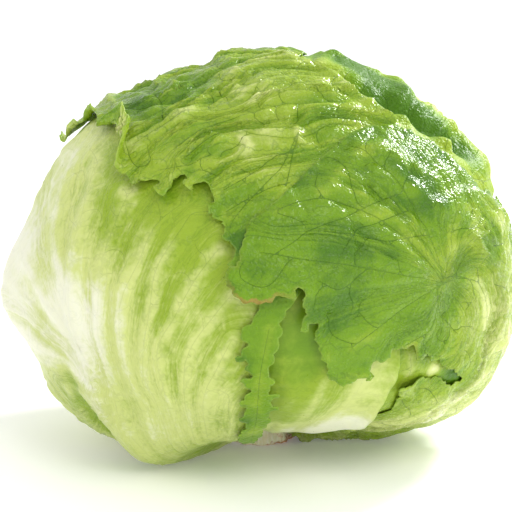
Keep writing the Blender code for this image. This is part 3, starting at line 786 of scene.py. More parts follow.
@dataclass
class Veins:
    """A leaf's veins, grown from its main ones toward the tissue that has none yet."""

    paths: list[Array]           # main veins, unit vectors
    food: Array                  # places to reach, unit vectors
    kill: float
    reach: float = 18 * MM
    bias: float = 1.3
    rounds: int = 45
    sprout_every: int = 5        # main nodes between two side veins of one side
    fork_every: int = 4          # side nodes that may fork
    sway: float = 0.22
    nodes: list[Vector] = field(default_factory=list)
    parents: list[int] = field(default_factory=list)
    headings: list[Vector] = field(default_factory=list)
    children: list[int] = field(default_factory=list)
    main: list[float] = field(default_factory=list)

    def add(self, place: Vector, parent: int, heading: Vector, main: float) -> None:
        """Adds one node, and counts it with its parent.

        Args:
            place: Where the node is.
            parent: Number of the node it grows from, or -1.
            heading: Direction the vein runs in.
            main: Share of a main vein, 0 on side veins.
        """
        self.nodes.append(place)
        self.parents.append(parent)
        self.headings.append(heading)
        self.children.append(0)
        self.main.append(main)
        if parent >= 0:
            self.children[parent] += 1

    def grow(self) -> None:
        """Lays the main veins, then lets side veins branch off until no place is left to reach."""
        for path in self.paths:
            places = [Vector(point) * HEAD_DEPTH for point in path]
            for k, place in enumerate(places):
                after = places[min(k + 1, len(places) - 1)]
                before = places[max(k - 1, 0)]
                parent = len(self.nodes) - 1 if k else -1
                self.add(place, parent, (after - before).normalized(), 1 - 0.4 * k / len(places))
        food = [Vector(point) * HEAD_DEPTH for point in self.food]
        rng = np.random.default_rng(SEED)
        for _ in range(self.rounds):
            tree = tree_of(self.nodes)
            pulls: dict[tuple[int, int], Vector] = {}
            hungry = []
            for place in food:
                _, near, distance = tree.find(place)
                if distance < self.kill:
                    continue
                hungry.append(place)
                if distance > self.reach:
                    continue
                pull = (place - self.nodes[near]).normalized()
                side = 0
                if self.main[near] > 0 or self.children[near]:
                    turn = self.nodes[near].cross(self.headings[near])
                    side = 1 if pull.dot(turn) > 0 else -1
                if self.may_sprout(near, side):
                    pulls[near, side] = pulls.get((near, side), Vector()) + pull
            food = hungry
            if not pulls:
                break
            for (near, side), pull in pulls.items():
                sway = Vector(rng.normal(size=3)) * self.sway
                aim = (pull.normalized() + self.bias * self.headings[near] + sway).normalized()
                place = (self.nodes[near] + aim * VEIN_STEP).normalized() * HEAD_DEPTH
                if tree.find(place)[2] > 0.75 * VEIN_STEP:
                    self.add(place, near, aim, 0.0)

    def may_sprout(self, near: int, side: int) -> bool:
        """True if a node can grow one more vein to that side.

        Args:
            near: Number of the node.
            side: 1 or -1 for the sides, 0 for straight on.

        Returns:
            Whether it can.
        """
        if self.main[near] > 0:
            offset = self.sprout_every // 2 if side > 0 else 0
            return near % self.sprout_every == offset and self.children[near] < 3
        return self.children[near] == 0 or (self.children[near] < 2 and near % self.fork_every == 0)

    def sizes(self) -> Array:
        """Thickness of the vein at each node, from how much of the leaf it feeds.

        Returns:
            A value from 0.25 at the tips to 0.9.
        """
        load = np.ones(len(self.nodes))
        for k in range(len(self.nodes) - 1, -1, -1):
            if self.parents[k] >= 0:
                load[self.parents[k]] += load[k]
        return np.clip(0.25 + 0.09 * np.log2(load), 0.25, 0.9)


# Node helpers

def socket(group: bpy.types.NodeTree, name: str, kind: str, output: bool = False) -> None:
    """Adds a named socket to a node group."""
    group.interface.new_socket(name, in_out="OUTPUT" if output else "INPUT", socket_type=kind)


@dataclass
class Graph:
    """Short calls for building a node tree."""

    tree: bpy.types.NodeTree

    def node(self, kind: str, **settings: object) -> bpy.types.Node:
        """Adds a node and sets its properties.

        Args:
            kind: Type of the node.
            settings: Its properties by name.

        Returns:
            The node.
        """
        made = self.tree.nodes.new(kind)
        for name, value in settings.items():
            setattr(made, name, value)
        return made

    def feed(self, target: bpy.types.NodeSocket, value: object) -> None:
        """Links a socket, or sets a number, on a node's input.

        Args:
            target: Input of a node.
            value: Socket, number or colour; None leaves it.
        """
        if isinstance(value, bpy.types.NodeSocket):
            self.tree.links.new(value, target)
        elif value is not None:
            target.default_value = value

    def fill(self, node: bpy.types.Node, inputs: dict[str, object]) -> bpy.types.Node:
        """Feeds a node's inputs by name.

        Args:
            node: The node.
            inputs: Sockets, numbers or colours by the names of the inputs.

        Returns:
            The node.
        """
        for name, value in inputs.items():
            self.feed(node.inputs[name], value)
        return node

    def math(self, operation: str, a: object, b: object = None, clamp: bool = False) -> bpy.types.NodeSocket:
        """Math node of one or two values.

        Args:
            operation: What the node works out.
            a: First value.
            b: Second value.
            clamp: Whether the result is held from 0 to 1.

        Returns:
            The result's socket.
        """
        made = self.node("ShaderNodeMath", operation=operation, use_clamp=clamp)
        self.feed(made.inputs[0], a)
        self.feed(made.inputs[1], b)
        return made.outputs[0]

    def fade(self, value: object, start: object, end: object, low: float = 0.0,
             high: float = 1.0) -> bpy.types.NodeSocket:
        """Smooth map of a value from start..end to low..high.

        Args:
            value: What is mapped.
            start: Value that gives low.
            end: Value that gives high.
            low: Result at the start.
            high: Result at the end.

        Returns:
            The result's socket.
        """
        made = self.node("ShaderNodeMapRange", interpolation_type="SMOOTHSTEP")
        self.fill(made, {"Value": value, "From Min": start, "From Max": end, "To Min": low, "To Max": high})
        return made.outputs["Result"]

    def mix(self, factor: object, a: object, b: object) -> bpy.types.NodeSocket:
        """Colour mix.

        Args:
            factor: Share of the second colour.
            a: First colour.
            b: Second colour.

        Returns:
            The colour's socket.
        """
        made = self.node("ShaderNodeMix", data_type="RGBA", blend_type="MIX")
        self.fill(made, {"Factor": factor, "A": a, "B": b})
        return made.outputs["Result"]

    def noise(self, vector: object, scale: float, detail: float = 3.0,
              rough: float = 0.55) -> bpy.types.NodeSocket:
        """Noise value around 0.5.

        Args:
            vector: Where the noise is looked up.
            scale: Waves for each unit.
            detail: Number of finer layers.
            rough: Strength of the finer layers.

        Returns:
            The value's socket.
        """
        made = self.node("ShaderNodeTexNoise")
        self.fill(made, {"Vector": vector, "Scale": scale, "Detail": detail, "Roughness": rough})
        return made.outputs["Fac"]

    def ripple(self, vector: object, scale: float | tuple[float, float, float], detail: float = 3.0,
               rough: float = 0.55) -> bpy.types.NodeSocket:
        """Noise around 0, stretched where the scale is given for each axis.

        Args:
            vector: Where the noise is looked up.
            scale: Waves for each unit, or a number for each axis.
            detail: Number of finer layers.
            rough: Strength of the finer layers.

        Returns:
            The value's socket.
        """
        if isinstance(scale, tuple):
            vector, scale = self.scaled(vector, scale), 1.0
        return self.math("SUBTRACT", self.noise(vector, scale, detail, rough), 0.5)

    def weighted(self, *terms: tuple[object, object]) -> bpy.types.NodeSocket:
        """Sum of values, each times a factor.

        Args:
            terms: Pairs of a value and its factor.

        Returns:
            The sum's socket.
        """
        parts = [self.math("MULTIPLY", value, factor) for value, factor in terms]
        total = parts[0]
        for part in parts[1:]:
            total = self.math("ADD", total, part)
        return total

    def scaled(self, vector: object, factors: tuple[float, float, float]) -> bpy.types.NodeSocket:
        """Vector times three factors.

        Args:
            vector: What is scaled.
            factors: One factor for each axis.

        Returns:
            The vector's socket.
        """
        made = self.node("ShaderNodeVectorMath", operation="MULTIPLY")
        self.feed(made.inputs[0], vector)
        made.inputs[1].default_value = factors
        return made.outputs["Vector"]

    def bump(self, height: object, strength: float, distance: float) -> bpy.types.NodeSocket:
        """Surface normal with fine relief.

        Args:
            height: Socket of the height.
            strength: Strength of the relief.
            distance: Height in metres that 1 stands for.

        Returns:
            The normal's socket.
        """
        made = self.node("ShaderNodeBump")
        self.fill(made, {"Height": height, "Strength": strength, "Distance": distance})
        return made.outputs["Normal"]

    def attribute(self, name: str) -> bpy.types.Node:
        """Attribute of the mesh's points."""
        return self.node("ShaderNodeAttribute", attribute_name=name)


def srgb(red: int, green: int, blue: int) -> tuple[float, float, float, float]:
    """Linear colour of 0-255 screen values."""
    parts = [c / 255 for c in (red, green, blue)]
    return (*[c / 12.92 if c <= 0.04045 else ((c + 0.055) / 1.055) ** 2.4 for c in parts], 1.0)


# Leaf tissue from blanched to deep green
TISSUE_TONES = ((0.0, srgb(232, 234, 204)), (0.25, srgb(198, 209, 126)), (0.5, srgb(143, 169, 44)),
                (0.75, srgb(106, 144, 16)), (1.0, srgb(72, 114, 12)))
VEIN_GREEN = srgb(60, 100, 16)
RIM_GREEN = srgb(162, 190, 84)
SCORCH = srgb(160, 120, 62)
CUT_CREAM = srgb(250, 247, 228)
CUT_FIBRE = srgb(238, 232, 196)
CUT_BLUSH = srgb(216, 190, 140)
CUT_BROWN = srgb(186, 118, 52)
FLOOR_PALE = srgb(250, 250, 250)
FLOOR_WHITE = srgb(254, 254, 253)

# Fineness of the tissue's patterns, in waves a metre: across the ribs, then along them
WIDE_STREAKS = (300.0, 22.0, 22.0)
NARROW_STREAKS = (1100.0, 70.0, 70.0)
CRINKLES = (480.0, 190.0, 190.0)
NET_CELLS = (360.0, 120.0, 120.0)
NET_SWAY = 260.0
PATCHES = 130.0
MOTTLE = 800.0
GLOSS_PATCHES = 700.0
BROWN_PATCHES = 420.0
STEM_FIBRES = (900.0, 900.0, 130.0)
STEM_BLUSH = 150.0


def browning_group() -> bpy.types.NodeTree:
    """Group that browns cut or bruised tissue in ragged patches.

    Returns:
        Group with inputs Color, Place, Where, Amount and Tint, and outputs Color and Mask.
    """
    group = bpy.data.node_groups.new("browning", "ShaderNodeTree")
    socket(group, "Color", "NodeSocketColor")
    socket(group, "Place", "NodeSocketVector")
    socket(group, "Where", "NodeSocketFloat")
    socket(group, "Amount", "NodeSocketFloat")
    socket(group, "Tint", "NodeSocketColor")
    socket(group, "Color", "NodeSocketColor", True)
    socket(group, "Mask", "NodeSocketFloat", True)
    graph = Graph(group)
    given, out = graph.node("NodeGroupInput"), graph.node("NodeGroupOutput")
    patch = graph.noise(given.outputs["Place"], BROWN_PATCHES, 4.0, 0.65)
    level = graph.math("ADD", graph.math("MULTIPLY", given.outputs["Where"], 0.6), patch)
    mask = graph.math("MULTIPLY", graph.fade(level, 0.72, 0.98), given.outputs["Amount"], True)
    graph.feed(out.inputs["Mask"], mask)
    graph.feed(out.inputs["Color"], graph.mix(mask, given.outputs["Color"], given.outputs["Tint"]))
    return group


def tissue_group() -> bpy.types.NodeTree:
    """Group that colours leaf tissue from the mesh's own fields.

    Returns:
        Group with inputs for greenness, veins, edge and grain, and outputs Color, Roughness, Height.
    """
    group = bpy.data.node_groups.new("leaf_tissue", "ShaderNodeTree")
    for name in ("Green", "Vein", "Vein Size", "Edge", "Relief", "Streak", "Vein Dark", "Net", "Crinkle"):
        socket(group, name, "NodeSocketFloat")
    socket(group, "Grain", "NodeSocketVector")
    socket(group, "Place", "NodeSocketVector")
    for name, kind in (("Color", "NodeSocketColor"), ("Roughness", "NodeSocketFloat"),
                       ("Height", "NodeSocketFloat")):
        socket(group, name, kind, True)
    graph = Graph(group)
    given, out = graph.node("NodeGroupInput"), graph.node("NodeGroupOutput")
    grain, place = given.outputs["Grain"], given.outputs["Place"]
    run = graph.node("ShaderNodeSeparateXYZ")
    graph.feed(run.inputs["Vector"], grain)
    upward = graph.fade(run.outputs["Y"], 0.05, 0.12, 0.3, 1.0)
    wide = graph.math("MULTIPLY", graph.ripple(grain, WIDE_STREAKS), upward)
    streaks = graph.weighted((wide, 1.0), (graph.ripple(grain, NARROW_STREAKS, 2.0), 0.9))
    crinkle = graph.ripple(grain, CRINKLES, 2.0)
    patches = graph.ripple(place, PATCHES, 4.0)
    mottle = graph.ripple(place, MOTTLE, 1.0, 0.6)

    sway = graph.fill(graph.node("ShaderNodeTexNoise"), {"Vector": place, "Scale": NET_SWAY})
    bent = graph.node("ShaderNodeVectorMath", operation="ADD")
    graph.feed(bent.inputs[0], graph.scaled(grain, NET_CELLS))
    graph.feed(bent.inputs[1], sway.outputs["Color"])
    cells = graph.node("ShaderNodeTexVoronoi", feature="DISTANCE_TO_EDGE")
    graph.fill(cells, {"Vector": bent.outputs["Vector"], "Scale": 1.0})
    rims = graph.fade(cells.outputs["Distance"], 0.0, 0.08, 1.0, 0.0)
    net = graph.math("MULTIPLY", rims, given.outputs["Net"])

    reach = graph.math("MULTIPLY", given.outputs["Vein Size"], 0.36)
    vein = graph.fade(given.outputs["Vein"], 0.0, reach, 1.0, 0.0)
    halo = graph.fade(given.outputs["Vein"], 0.3, 2.6, 1.0, 0.0)
    leafy = graph.fade(given.outputs["Green"], 0.05, 0.6, 0.3, 1.0)
    # Relief deepens the green in hollows and pales the crests: partly the tissue's own colour, partly painted
    # shade in the hollows and painted highlight on the crests.
    green = graph.weighted((given.outputs["Green"], 1.0), (streaks, given.outputs["Streak"]), (patches, 0.14),
                           (mottle, 0.10), (halo, -0.07), (given.outputs["Relief"], -0.14), (crinkle, -0.20))
    ramp = graph.node("ShaderNodeValToRGB")
    ramp.color_ramp.interpolation = "EASE"
    while len(ramp.color_ramp.elements) < len(TISSUE_TONES):
        ramp.color_ramp.elements.new(0.5)
    for stop, (at, colour) in zip(ramp.color_ramp.elements, TISSUE_TONES):
        stop.position, stop.color = at, colour
    graph.feed(ramp.inputs["Fac"], green)

    thin = graph.fade(given.outputs["Vein Size"], 0.5, 0.9, 1.0, 0.3)
    dark = graph.math("MULTIPLY", graph.math("MULTIPLY", vein, thin), given.outputs["Vein Dark"])
    dark = graph.math("MAXIMUM", dark, graph.math("MULTIPLY", net, 0.5))
    colour = graph.mix(graph.math("MULTIPLY", dark, leafy), ramp.outputs["Color"], VEIN_GREEN)
    rim = graph.fade(given.outputs["Edge"], 0.0, 0.7, 0.3, 0.0)
    graph.feed(out.inputs["Color"], graph.mix(rim, colour, RIM_GREEN))
    graph.feed(out.inputs["Roughness"], graph.math("MULTIPLY", graph.ripple(place, GLOSS_PATCHES, 2.0), 0.3))
    height = graph.weighted((vein, -0.25), (net, -0.25), (crinkle, 1.3), (mottle, 1.2), (streaks, 0.3))
    height = graph.math("MULTIPLY", graph.math("MULTIPLY", height, leafy), given.outputs["Crinkle"])
    graph.feed(out.inputs["Height"], height)
    return group


def new_material(name: str) -> tuple[bpy.types.Material, Graph, bpy.types.Node]:
    """Material with its graph and Principled shader.

    Args:
        name: Name of the material.

    Returns:
        The material, its graph and its shader.
    """
    material = bpy.data.materials.new(name)
    material.use_nodes = True
    return material, Graph(material.node_tree), material.node_tree.nodes["Principled BSDF"]


@dataclass
class Finishes:
    """Node groups, built once, and the materials made from them."""

    tissue: bpy.types.NodeTree = field(default_factory=tissue_group)
    browning: bpy.types.NodeTree = field(default_factory=browning_group)

    def leaf(self, finish: Tissue) -> bpy.types.Material:
        """Material of one leaf's blade.

        Args:
            finish: How the tissue looks.

        Returns:
            The material.
        """
        material, graph, shader = new_material(finish.name)
        place = graph.node("ShaderNodeTexCoord").outputs["Object"]
        edge = graph.attribute("edge").outputs["Fac"]
        tissue = graph.fill(graph.node("ShaderNodeGroup", node_tree=self.tissue), {
            "Green": graph.attribute("green").outputs["Fac"],
            "Vein": graph.attribute("vein").outputs["Fac"],
            "Vein Size": graph.attribute("vein_size").outputs["Fac"],
            "Edge": edge,
            "Relief": graph.attribute("relief").outputs["Fac"],
            "Grain": graph.attribute("grain").outputs["Vector"],
            "Place": place,
            "Streak": finish.streak,
            "Vein Dark": finish.vein_dark,
            "Net": finish.net,
            "Crinkle": finish.crinkle})
        brown = graph.fill(graph.node("ShaderNodeGroup", node_tree=self.browning), {
            "Color": tissue.outputs["Color"],
            "Place": place,
            "Where": graph.fade(edge, 0.0, 2.2, 1.0, 0.0),
            "Amount": graph.math("MULTIPLY", graph.attribute("scorch").outputs["Fac"], finish.brown),
            "Tint": SCORCH})
        graph.fill(shader, {
            "Base Color": brown.outputs["Color"],
            "Roughness": graph.math("ADD", tissue.outputs["Roughness"], finish.roughness),
            "Normal": graph.bump(tissue.outputs["Height"], 0.8, 0.5 * MM),
            "Subsurface Weight": 0.18,
            "Subsurface Radius": (0.8, 1.0, 0.3),
            "Subsurface Scale": 2.0 * MM,
            "Specular IOR Level": finish.shine,
            "IOR": 1.38})
        return material

    def cut_stem(self) -> bpy.types.Material:
        """Material of the cut stump: cream fibres, browned at the rim and the cut.

        Returns:
            The material.
        """
        material, graph, shader = new_material("cut_stem")
        place = graph.node("ShaderNodeTexCoord").outputs["Object"]
        fibres = graph.noise(graph.scaled(place, STEM_FIBRES), 1.0, 5.0, 0.6)
        body = graph.mix(graph.fade(fibres, 0.35, 0.7), CUT_FIBRE, CUT_CREAM)
        blush = graph.fade(graph.noise(place, STEM_BLUSH, 3.0), 0.45, 0.7)
        body = graph.mix(graph.math("MULTIPLY", blush, 0.25), body, CUT_BLUSH)
        brown = graph.fill(graph.node("ShaderNodeGroup", node_tree=self.browning), {
            "Color": body,
            "Place": place,
            "Where": graph.attribute("crust").outputs["Fac"],
            "Amount": 0.9,
            "Tint": CUT_BROWN})
        graph.fill(shader, {
            "Base Color": brown.outputs["Color"],
            "Roughness": graph.math("ADD", graph.math("MULTIPLY", fibres, 0.3), 0.45),
            "Normal": graph.bump(graph.weighted((fibres, 1.0), (brown.outputs["Mask"], 0.4)), 0.9, 0.6 * MM),
            "Subsurface Weight": 0.15,
            "Subsurface Scale": 2.0 * MM})
        return material

    def floor(self) -> bpy.types.Material:
        """Material of the plain pale floor.

        Returns:
            The material.
        """
        material, graph, shader = new_material("pale_floor")
        place = graph.node("ShaderNodeTexCoord").outputs["Object"]
        graph.fill(shader, {
            "Base Color": graph.mix(graph.noise(place, 6.0), FLOOR_PALE, FLOOR_WHITE),
            "Roughness": 0.7,
            "Emission Color": (1, 1, 1, 1),
            "Emission Strength": 0.10})
        return material


# The pieces

def finish_piece(obj: bpy.types.Object, node: str) -> bpy.types.Object:
    """Puts a piece in the scene, in the place of its CAD node.

    Args:
        obj: The piece.
        node: CAD node it stands for.

    Returns:
        The piece.
    """
    bpy.context.scene.collection.objects.link(obj)
    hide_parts(node)
    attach(obj, "root")
    log.info("%s: %d vertices, %d faces", obj.name, len(obj.data.vertices), len(obj.data.polygons))
    return obj


def set_fields(mesh: bpy.types.Mesh, **fields: Array) -> None:
    """Stores a number or a vector for each vertex.

    Args:
        mesh: Mesh that gets them.
        fields: Values for the vertices, by name.
    """
    for name, values in fields.items():
        vector = values.ndim == 2
        made = mesh.attributes.new(name, "FLOAT_VECTOR" if vector else "FLOAT", "POINT")
        flat = np.ascontiguousarray(values, np.float32).ravel()
        made.data.foreach_set("vector" if vector else "value", flat)


@dataclass
class Wrapper:
    """One wrapper leaf as a fine sheet with veins, blisters and cut margins."""

    head: Head
    index: int
    blade: Blade
    tissue: Tissue
    leaf: Leaf = field(init=False)

    def __post_init__(self) -> None:
        """Looks up the leaf's own sizes."""
        self.leaf = self.head.leaves[self.index]

    def pattern(self, coords: Array, salt: int, lengths: tuple[float, ...], count: int = 12) -> Array:
        """Waves of this leaf's own, other ones for each salt."""
        return waves(coords, SEED * salt + self.index, lengths, count)

    def cut_margin(self) -> Array:
        """The leaf's outline with its lobes and teeth, coarser where it is hidden.

        Returns:
            Chart points of the loop.
        """
        outline = spline(self.leaf.margin, True, FINE_MARGIN_STEP)
        shown = self.head.shown(self.index, self.head.depths(outline))
        outward = outward_normals(outline)
        outward *= 1 / np.linalg.norm(outward, axis=1)[:, None]
        rays = from_chart(outline)
        along = np.arange(len(outline)) * FINE_MARGIN_STEP
        lively = 1 - np.clip(swelling(rays, self.blade.calm), 0, 0.9)
        shift = self.leaf.wander * blisters(rays, SEED * 7 + self.index) + lively * self.teeth(along)
        outline = outline + outward * (shift * shown / chart_scale(outline))[:, None]
        keep = (shown > 0.05) | (np.arange(len(outline)) % 5 == 0)
        return outline[keep]

    def teeth(self, along: Array) -> Array:
        """Shift of the margin outward at distances along it.

        Args:
            along: Distances along the margin.

        Returns:
            Shift in metres at each.
        """
        if self.blade.edge is Edge.SMOOTH:
            return self.blade.tooth * self.pattern(along[:, None], 1, (9 * MM,))
        if self.blade.edge is Edge.CRENATE:
            period = 4.6 * MM * (1 + 0.12 * waves(along[:, None], SEED, (30 * MM,)))
            phase = np.cumsum(np.full(len(along), FINE_MARGIN_STEP) / period)
            return self.blade.tooth * (np.abs(np.sin(math.pi * phase)) ** 0.5 - 0.7)
        rng = np.random.default_rng(SEED * 5 + self.index)
        marks, heights, at = [0.0], [0.0], 0.0
        while at < along[-1]:
            step = rng.uniform(1.4, 4.2) * MM
            tip = rng.uniform(0.5, 0.8)
            marks += [at + tip * step, at + step]
            heights += [rng.uniform(0.2, 1.0), rng.uniform(-0.9, -0.2)]
            at += step
        teeth = self.blade.tooth * np.interp(along, marks, heights)
        return teeth + self.blade.lobe * self.pattern(along[:, None], 2, (11 * MM,))

    def grow_veins(self, outline: Array) -> Veins:
        """Veins of the leaf's shown part.

        Args:
            outline: Chart points of the cut margin.

        Returns:
            The grown veins.
        """
        lines = [spline(shape.points, False, VEIN_STEP) for shape in self.leaf.ribs
                 if shape.order is not None]
        lines += [spline(points, False, VEIN_STEP) for points in self.blade.veins]
        food = even_directions(self.blade.food)
        rng = np.random.default_rng(SEED * 11 + self.index)
        food = food + rng.normal(size=food.shape) * 0.25 * self.blade.food / HEAD_DEPTH
        food /= np.linalg.norm(food, axis=1)[:, None]
        chart = to_chart(food)
        inside = depth_inside(chart, outline) > 1.5 * MM
        food, chart = food[inside], chart[inside]
        food = food[self.head.shown(self.index, self.head.depths(chart)) > 0.15]
        veins = Veins([from_chart(line) for line in lines], food, 0.75 * self.blade.food)
        veins.grow()
        return veins

    def free_points(self, outline: Array, taken: Array) -> Array:
        """Even chart points inside the margin and clear of the veins, few where the leaf is covered.

        Args:
            outline: Chart points of the cut margin.
            taken: Unit vectors of the veins' nodes.

        Returns:
            Chart points.
        """
        spacing = self.blade.spacing
        points = to_chart(even_directions(spacing))
        points = points[depth_inside(points, outline) > 0.5 * spacing]
        shown = self.head.shown(self.index, self.head.depths(points))
        points = points[(shown > 0.02) | (np.arange(len(points)) % HIDDEN_THINNING == 0)]
        tree = tree_of(taken * HEAD_DEPTH)
        clear = [tree.find(place)[2] > 0.55 * spacing for place in from_chart(points) * HEAD_DEPTH]
        return points[np.array(clear)]

    def sheet(self, outline: Array, veins: Veins) -> tuple[Array, list[tuple[int, ...]]]:
        """Triangulated chart of the leaf, with edges along its margin and its veins.

        Args:
            outline: Chart points of the cut margin.
            veins: The leaf's veins.

        Returns:
            Chart points and the triangles between them.
        """
        places = np.array([tuple(node) for node in veins.nodes]) / HEAD_DEPTH
        chart = to_chart(places)
        usable = depth_inside(chart, outline) > 0.6 * self.blade.spacing
        usable &= self.head.shown(self.index, self.head.depths(chart)) > 0.1
        points = self.free_points(outline, places[usable])
        number = np.cumsum(usable) - 1 + len(outline)
        edges = [(k, (k + 1) % len(outline)) for k in range(len(outline))]
        edges += [(int(number[k]), int(number[parent])) for k, parent in enumerate(veins.parents)
                  if parent >= 0 and usable[k] and usable[parent]]
        flat = [Vector(place) for place in np.vstack([outline, chart[usable], points])]
        corners, _, faces, sources, *_ = delaunay_2d_cdt(flat, edges, [], 1, 1e-6)
        # a triangle with its three corners on veins gets a point in its middle, off the veins
        first, last = len(outline), len(outline) + int(usable.sum())
        on_vein = [any(first <= k < last for k in source) for source in sources]
        filled = [face for face in faces if all(on_vein[k] for k in face)]
        flat += [(corners[a] + corners[b] + corners[c]) / 3 for a, b, c in filled]
        corners, _, faces, *_ = delaunay_2d_cdt(flat, edges, [], 1, 1e-6)
        return np.array([tuple(v) for v in corners]), [tuple(face) for face in faces]

    def vein_distance(self, veins: Veins, rays: Array) -> tuple[Array, Array]:
        """Distance of each point from the nearest vein, in mm, and that vein's size.

        Args:
            veins: The leaf's veins.
            rays: Unit vectors of the sheet's points.

        Returns:
            Distances and sizes.
        """
        nodes = np.array([tuple(node) for node in veins.nodes])
        sizes = veins.sizes()
        parents = np.array(veins.parents)
        linked = parents >= 0
        places, values = [nodes], [sizes]
        for share in (0.25, 0.5, 0.75):
            places.append(nodes[linked] * share + nodes[parents[linked]] * (1 - share))
            values.append(sizes[linked] * share + sizes[parents[linked]] * (1 - share))
        tree, size = tree_of(np.vstack(places)), np.concatenate(values)
        found = [tree.find(place) for place in rays * HEAD_DEPTH]
        distance = np.array([item[2] for item in found])
        return distance / MM, size[[item[1] for item in found]]

    def greenness(self, fields: Fields) -> Array:
        """How green the tissue is, from 0 at blanched ribs to 1.

        Args:
            fields: The leaf's fields.

        Returns:
            A value for each point.
        """
        stump, crown = self.blade.green
        green = stump + (crown - stump) * smooth_step(fields.along / (math.pi * HEAD_DEPTH))
        # Some tones deepen the green where shade falls: painted shade.
        green += swelling(fields.rays, self.blade.tones)
        upward = smooth_step((fields.along - 55 * MM) / (60 * MM))
        green -= self.blade.rib_pale * fields.rib * (0.3 + 0.7 * upward)
        return green + 0.035 * self.pattern(fields.rays, 13, (0.35,) * 3)

    def outward(self, fields: Fields) -> Array:
        """Unit vectors along the sheet, square to the smooth margin, pointing out of the leaf.

        Args:
            fields: The leaf's fields.

        Returns:
            A vector for each point.
        """
        outline = self.head.outlines[self.index]
        normal = outward_normals(outline)
        normal = sum(np.roll(normal, k, axis=0) for k in range(-3, 4))
        _, share, _ = nearest_on_path(fields.chart, outline, True)
        at = share * len(outline)
        k = at.astype(int) % len(outline)
        part = (at - np.floor(at))[:, None]
        aim = normal[k] * (1 - part) + normal[(k + 1) % len(outline)] * part
        aim /= np.linalg.norm(aim, axis=1)[:, None]
        toward = from_chart(fields.chart + aim * 1e-4) - fields.rays
        return toward / np.linalg.norm(toward, axis=1)[:, None]

    def curled(self, places: Array, fields: Fields) -> Array:
        """Rolls the margin outward where the leaf curls.

        Args:
            places: Points of the sheet.
            fields: The leaf's fields at them.

        Returns:
            The moved points.
        """
        if not self.blade.curls:
            return places
        toward = self.outward(fields)
        for bend in self.blade.curls:
            away = np.linalg.norm(fields.rays - direction(bend.azimuth, bend.elevation), axis=1) * HEAD_DEPTH
            share = smooth_step(1.6 * (1 - away / bend.reach)) * fields.shown
            past = np.clip(bend.depth * share - np.maximum(fields.depth, -0.8 * MM), 0, None)
            turn = np.minimum(past / bend.radius, FLAP_TURN)
            flap = past - turn * bend.radius
            shift = bend.radius * np.sin(turn) + flap * np.cos(turn) - past
            rise = bend.radius * (1 - np.cos(turn)) + flap * np.sin(turn)
            places = places + toward * shift[:, None] + fields.rays * rise[:, None]
        return places

    def fine_relief(self, fields: Fields, edge: Array, vein: Array, size: Array) -> Array:
        """Blisters, folds, veins, waves of the margin and creases, where the leaf is shown.

        Args:
            fields: The leaf's fields.
            edge: Distance from the cut margin.
            vein: Distance from the nearest vein, in mm.
            size: Size of that vein.

        Returns:
            Height at each point.
        """
        blade = self.blade
        dome = 1 - np.exp(-(vein / (0.55 * blade.food / MM)) ** 2)
        patchy = smooth_step(0.5 + 0.5 * self.pattern(fields.rays, 17, (0.45,) * 3))
        grain = np.stack([fields.across, fields.along], axis=1)
        fold = self.pattern(grain, 19, blade.fold_size, 16)
        small = self.pattern(grain, 31, tuple(0.5 * length for length in blade.fold_size), 16)
        fine = blade.blister * dome * (0.35 + patchy)
        folds = blade.fold * (1 - 2 * np.abs(np.tanh(1.4 * fold))) + blade.crumple * small
        fine += folds * (0.4 + 0.9 * patchy) * (1 - np.clip(swelling(fields.rays, blade.still), 0, 1))
        fine -= blade.groove * size * np.exp(-(vein / GROOVE_WIDTH) ** 2)
        fine += blade.wrinkle * self.pattern(fields.rays, 23, (0.07,) * 3, 20)
        fine += blade.band * np.cos(2 * math.pi * fields.across / BAND_WIDTH) * (1 - fields.rib)
        ruffle = self.pattern(fields.rays, 29, (0.11,) * 3, 14)
        lively = 1 - np.clip(swelling(fields.rays, blade.calm), 0, 0.9)
        fine += blade.ruffle * ruffle * lively * np.exp(-edge / (3 * MM))
        frill = self.pattern(fields.rays, 37, (0.15,) * 3, 8)
        fine += swelling(fields.rays, blade.frilled) * (1.8 + 1.4 * frill) * MM * np.exp(-edge / (6 * MM))
        for crease in blade.creases:
            distance, share, _ = nearest_on_path(fields.chart, spline(crease.points, False, 2 * MM), False)
            fine += crease.bump(distance, share)
        return fine * (fields.shown * smooth_step(edge / (0.6 * MM) + 0.5))

    def build(self, finishes: Finishes) -> bpy.types.Object:
        """Builds and dresses the leaf.

        Args:
            finishes: Where the materials come from.

        Returns:
            The piece.
        """
        outline = self.cut_margin()
        veins = self.grow_veins(outline)
        chart, faces = self.sheet(outline, veins)
        fields = self.head.fields(self.index, chart)
        edge, _, _ = nearest_on_path(chart, outline, True)
        vein, size = self.vein_distance(veins, fields.rays)
        fine = self.fine_relief(fields, edge, vein, size)
        radius = np.minimum(fields.radius + fine, self.head.ground_limit(fields.rays, np.zeros(len(chart))))
        places = self.curled(fields.rays * radius[:, None], fields)
        places[:, 2] += CENTRE_HEIGHT
        mesh = bpy.data.meshes.new(self.leaf.name + "_blade")
        mesh.from_pydata([tuple(v) for v in places], [], faces)
        relief = fine + fields.shown * swelling(fields.rays, self.leaf.dents)
        sheet_apart = np.full(len(chart), 0.1 * self.index)
        set_fields(mesh, green=self.greenness(fields), vein=vein, vein_size=size, edge=edge / MM,
                   relief=np.clip(relief / MM, -1.5, 1.5),
                   grain=np.stack([fields.across, fields.along, sheet_apart], axis=1),
                   scorch=swelling(fields.rays, self.blade.scorched))
        mesh.shade_smooth()
        mesh.materials.append(finishes.leaf(self.tissue))
        obj = bpy.data.objects.new(mesh.name, mesh)
        shell = obj.modifiers.new("Thickness", "SOLIDIFY")
        shell.thickness = BLADE_THICKNESS
        shell.offset = -1
        return finish_piece(obj, self.leaf.name)


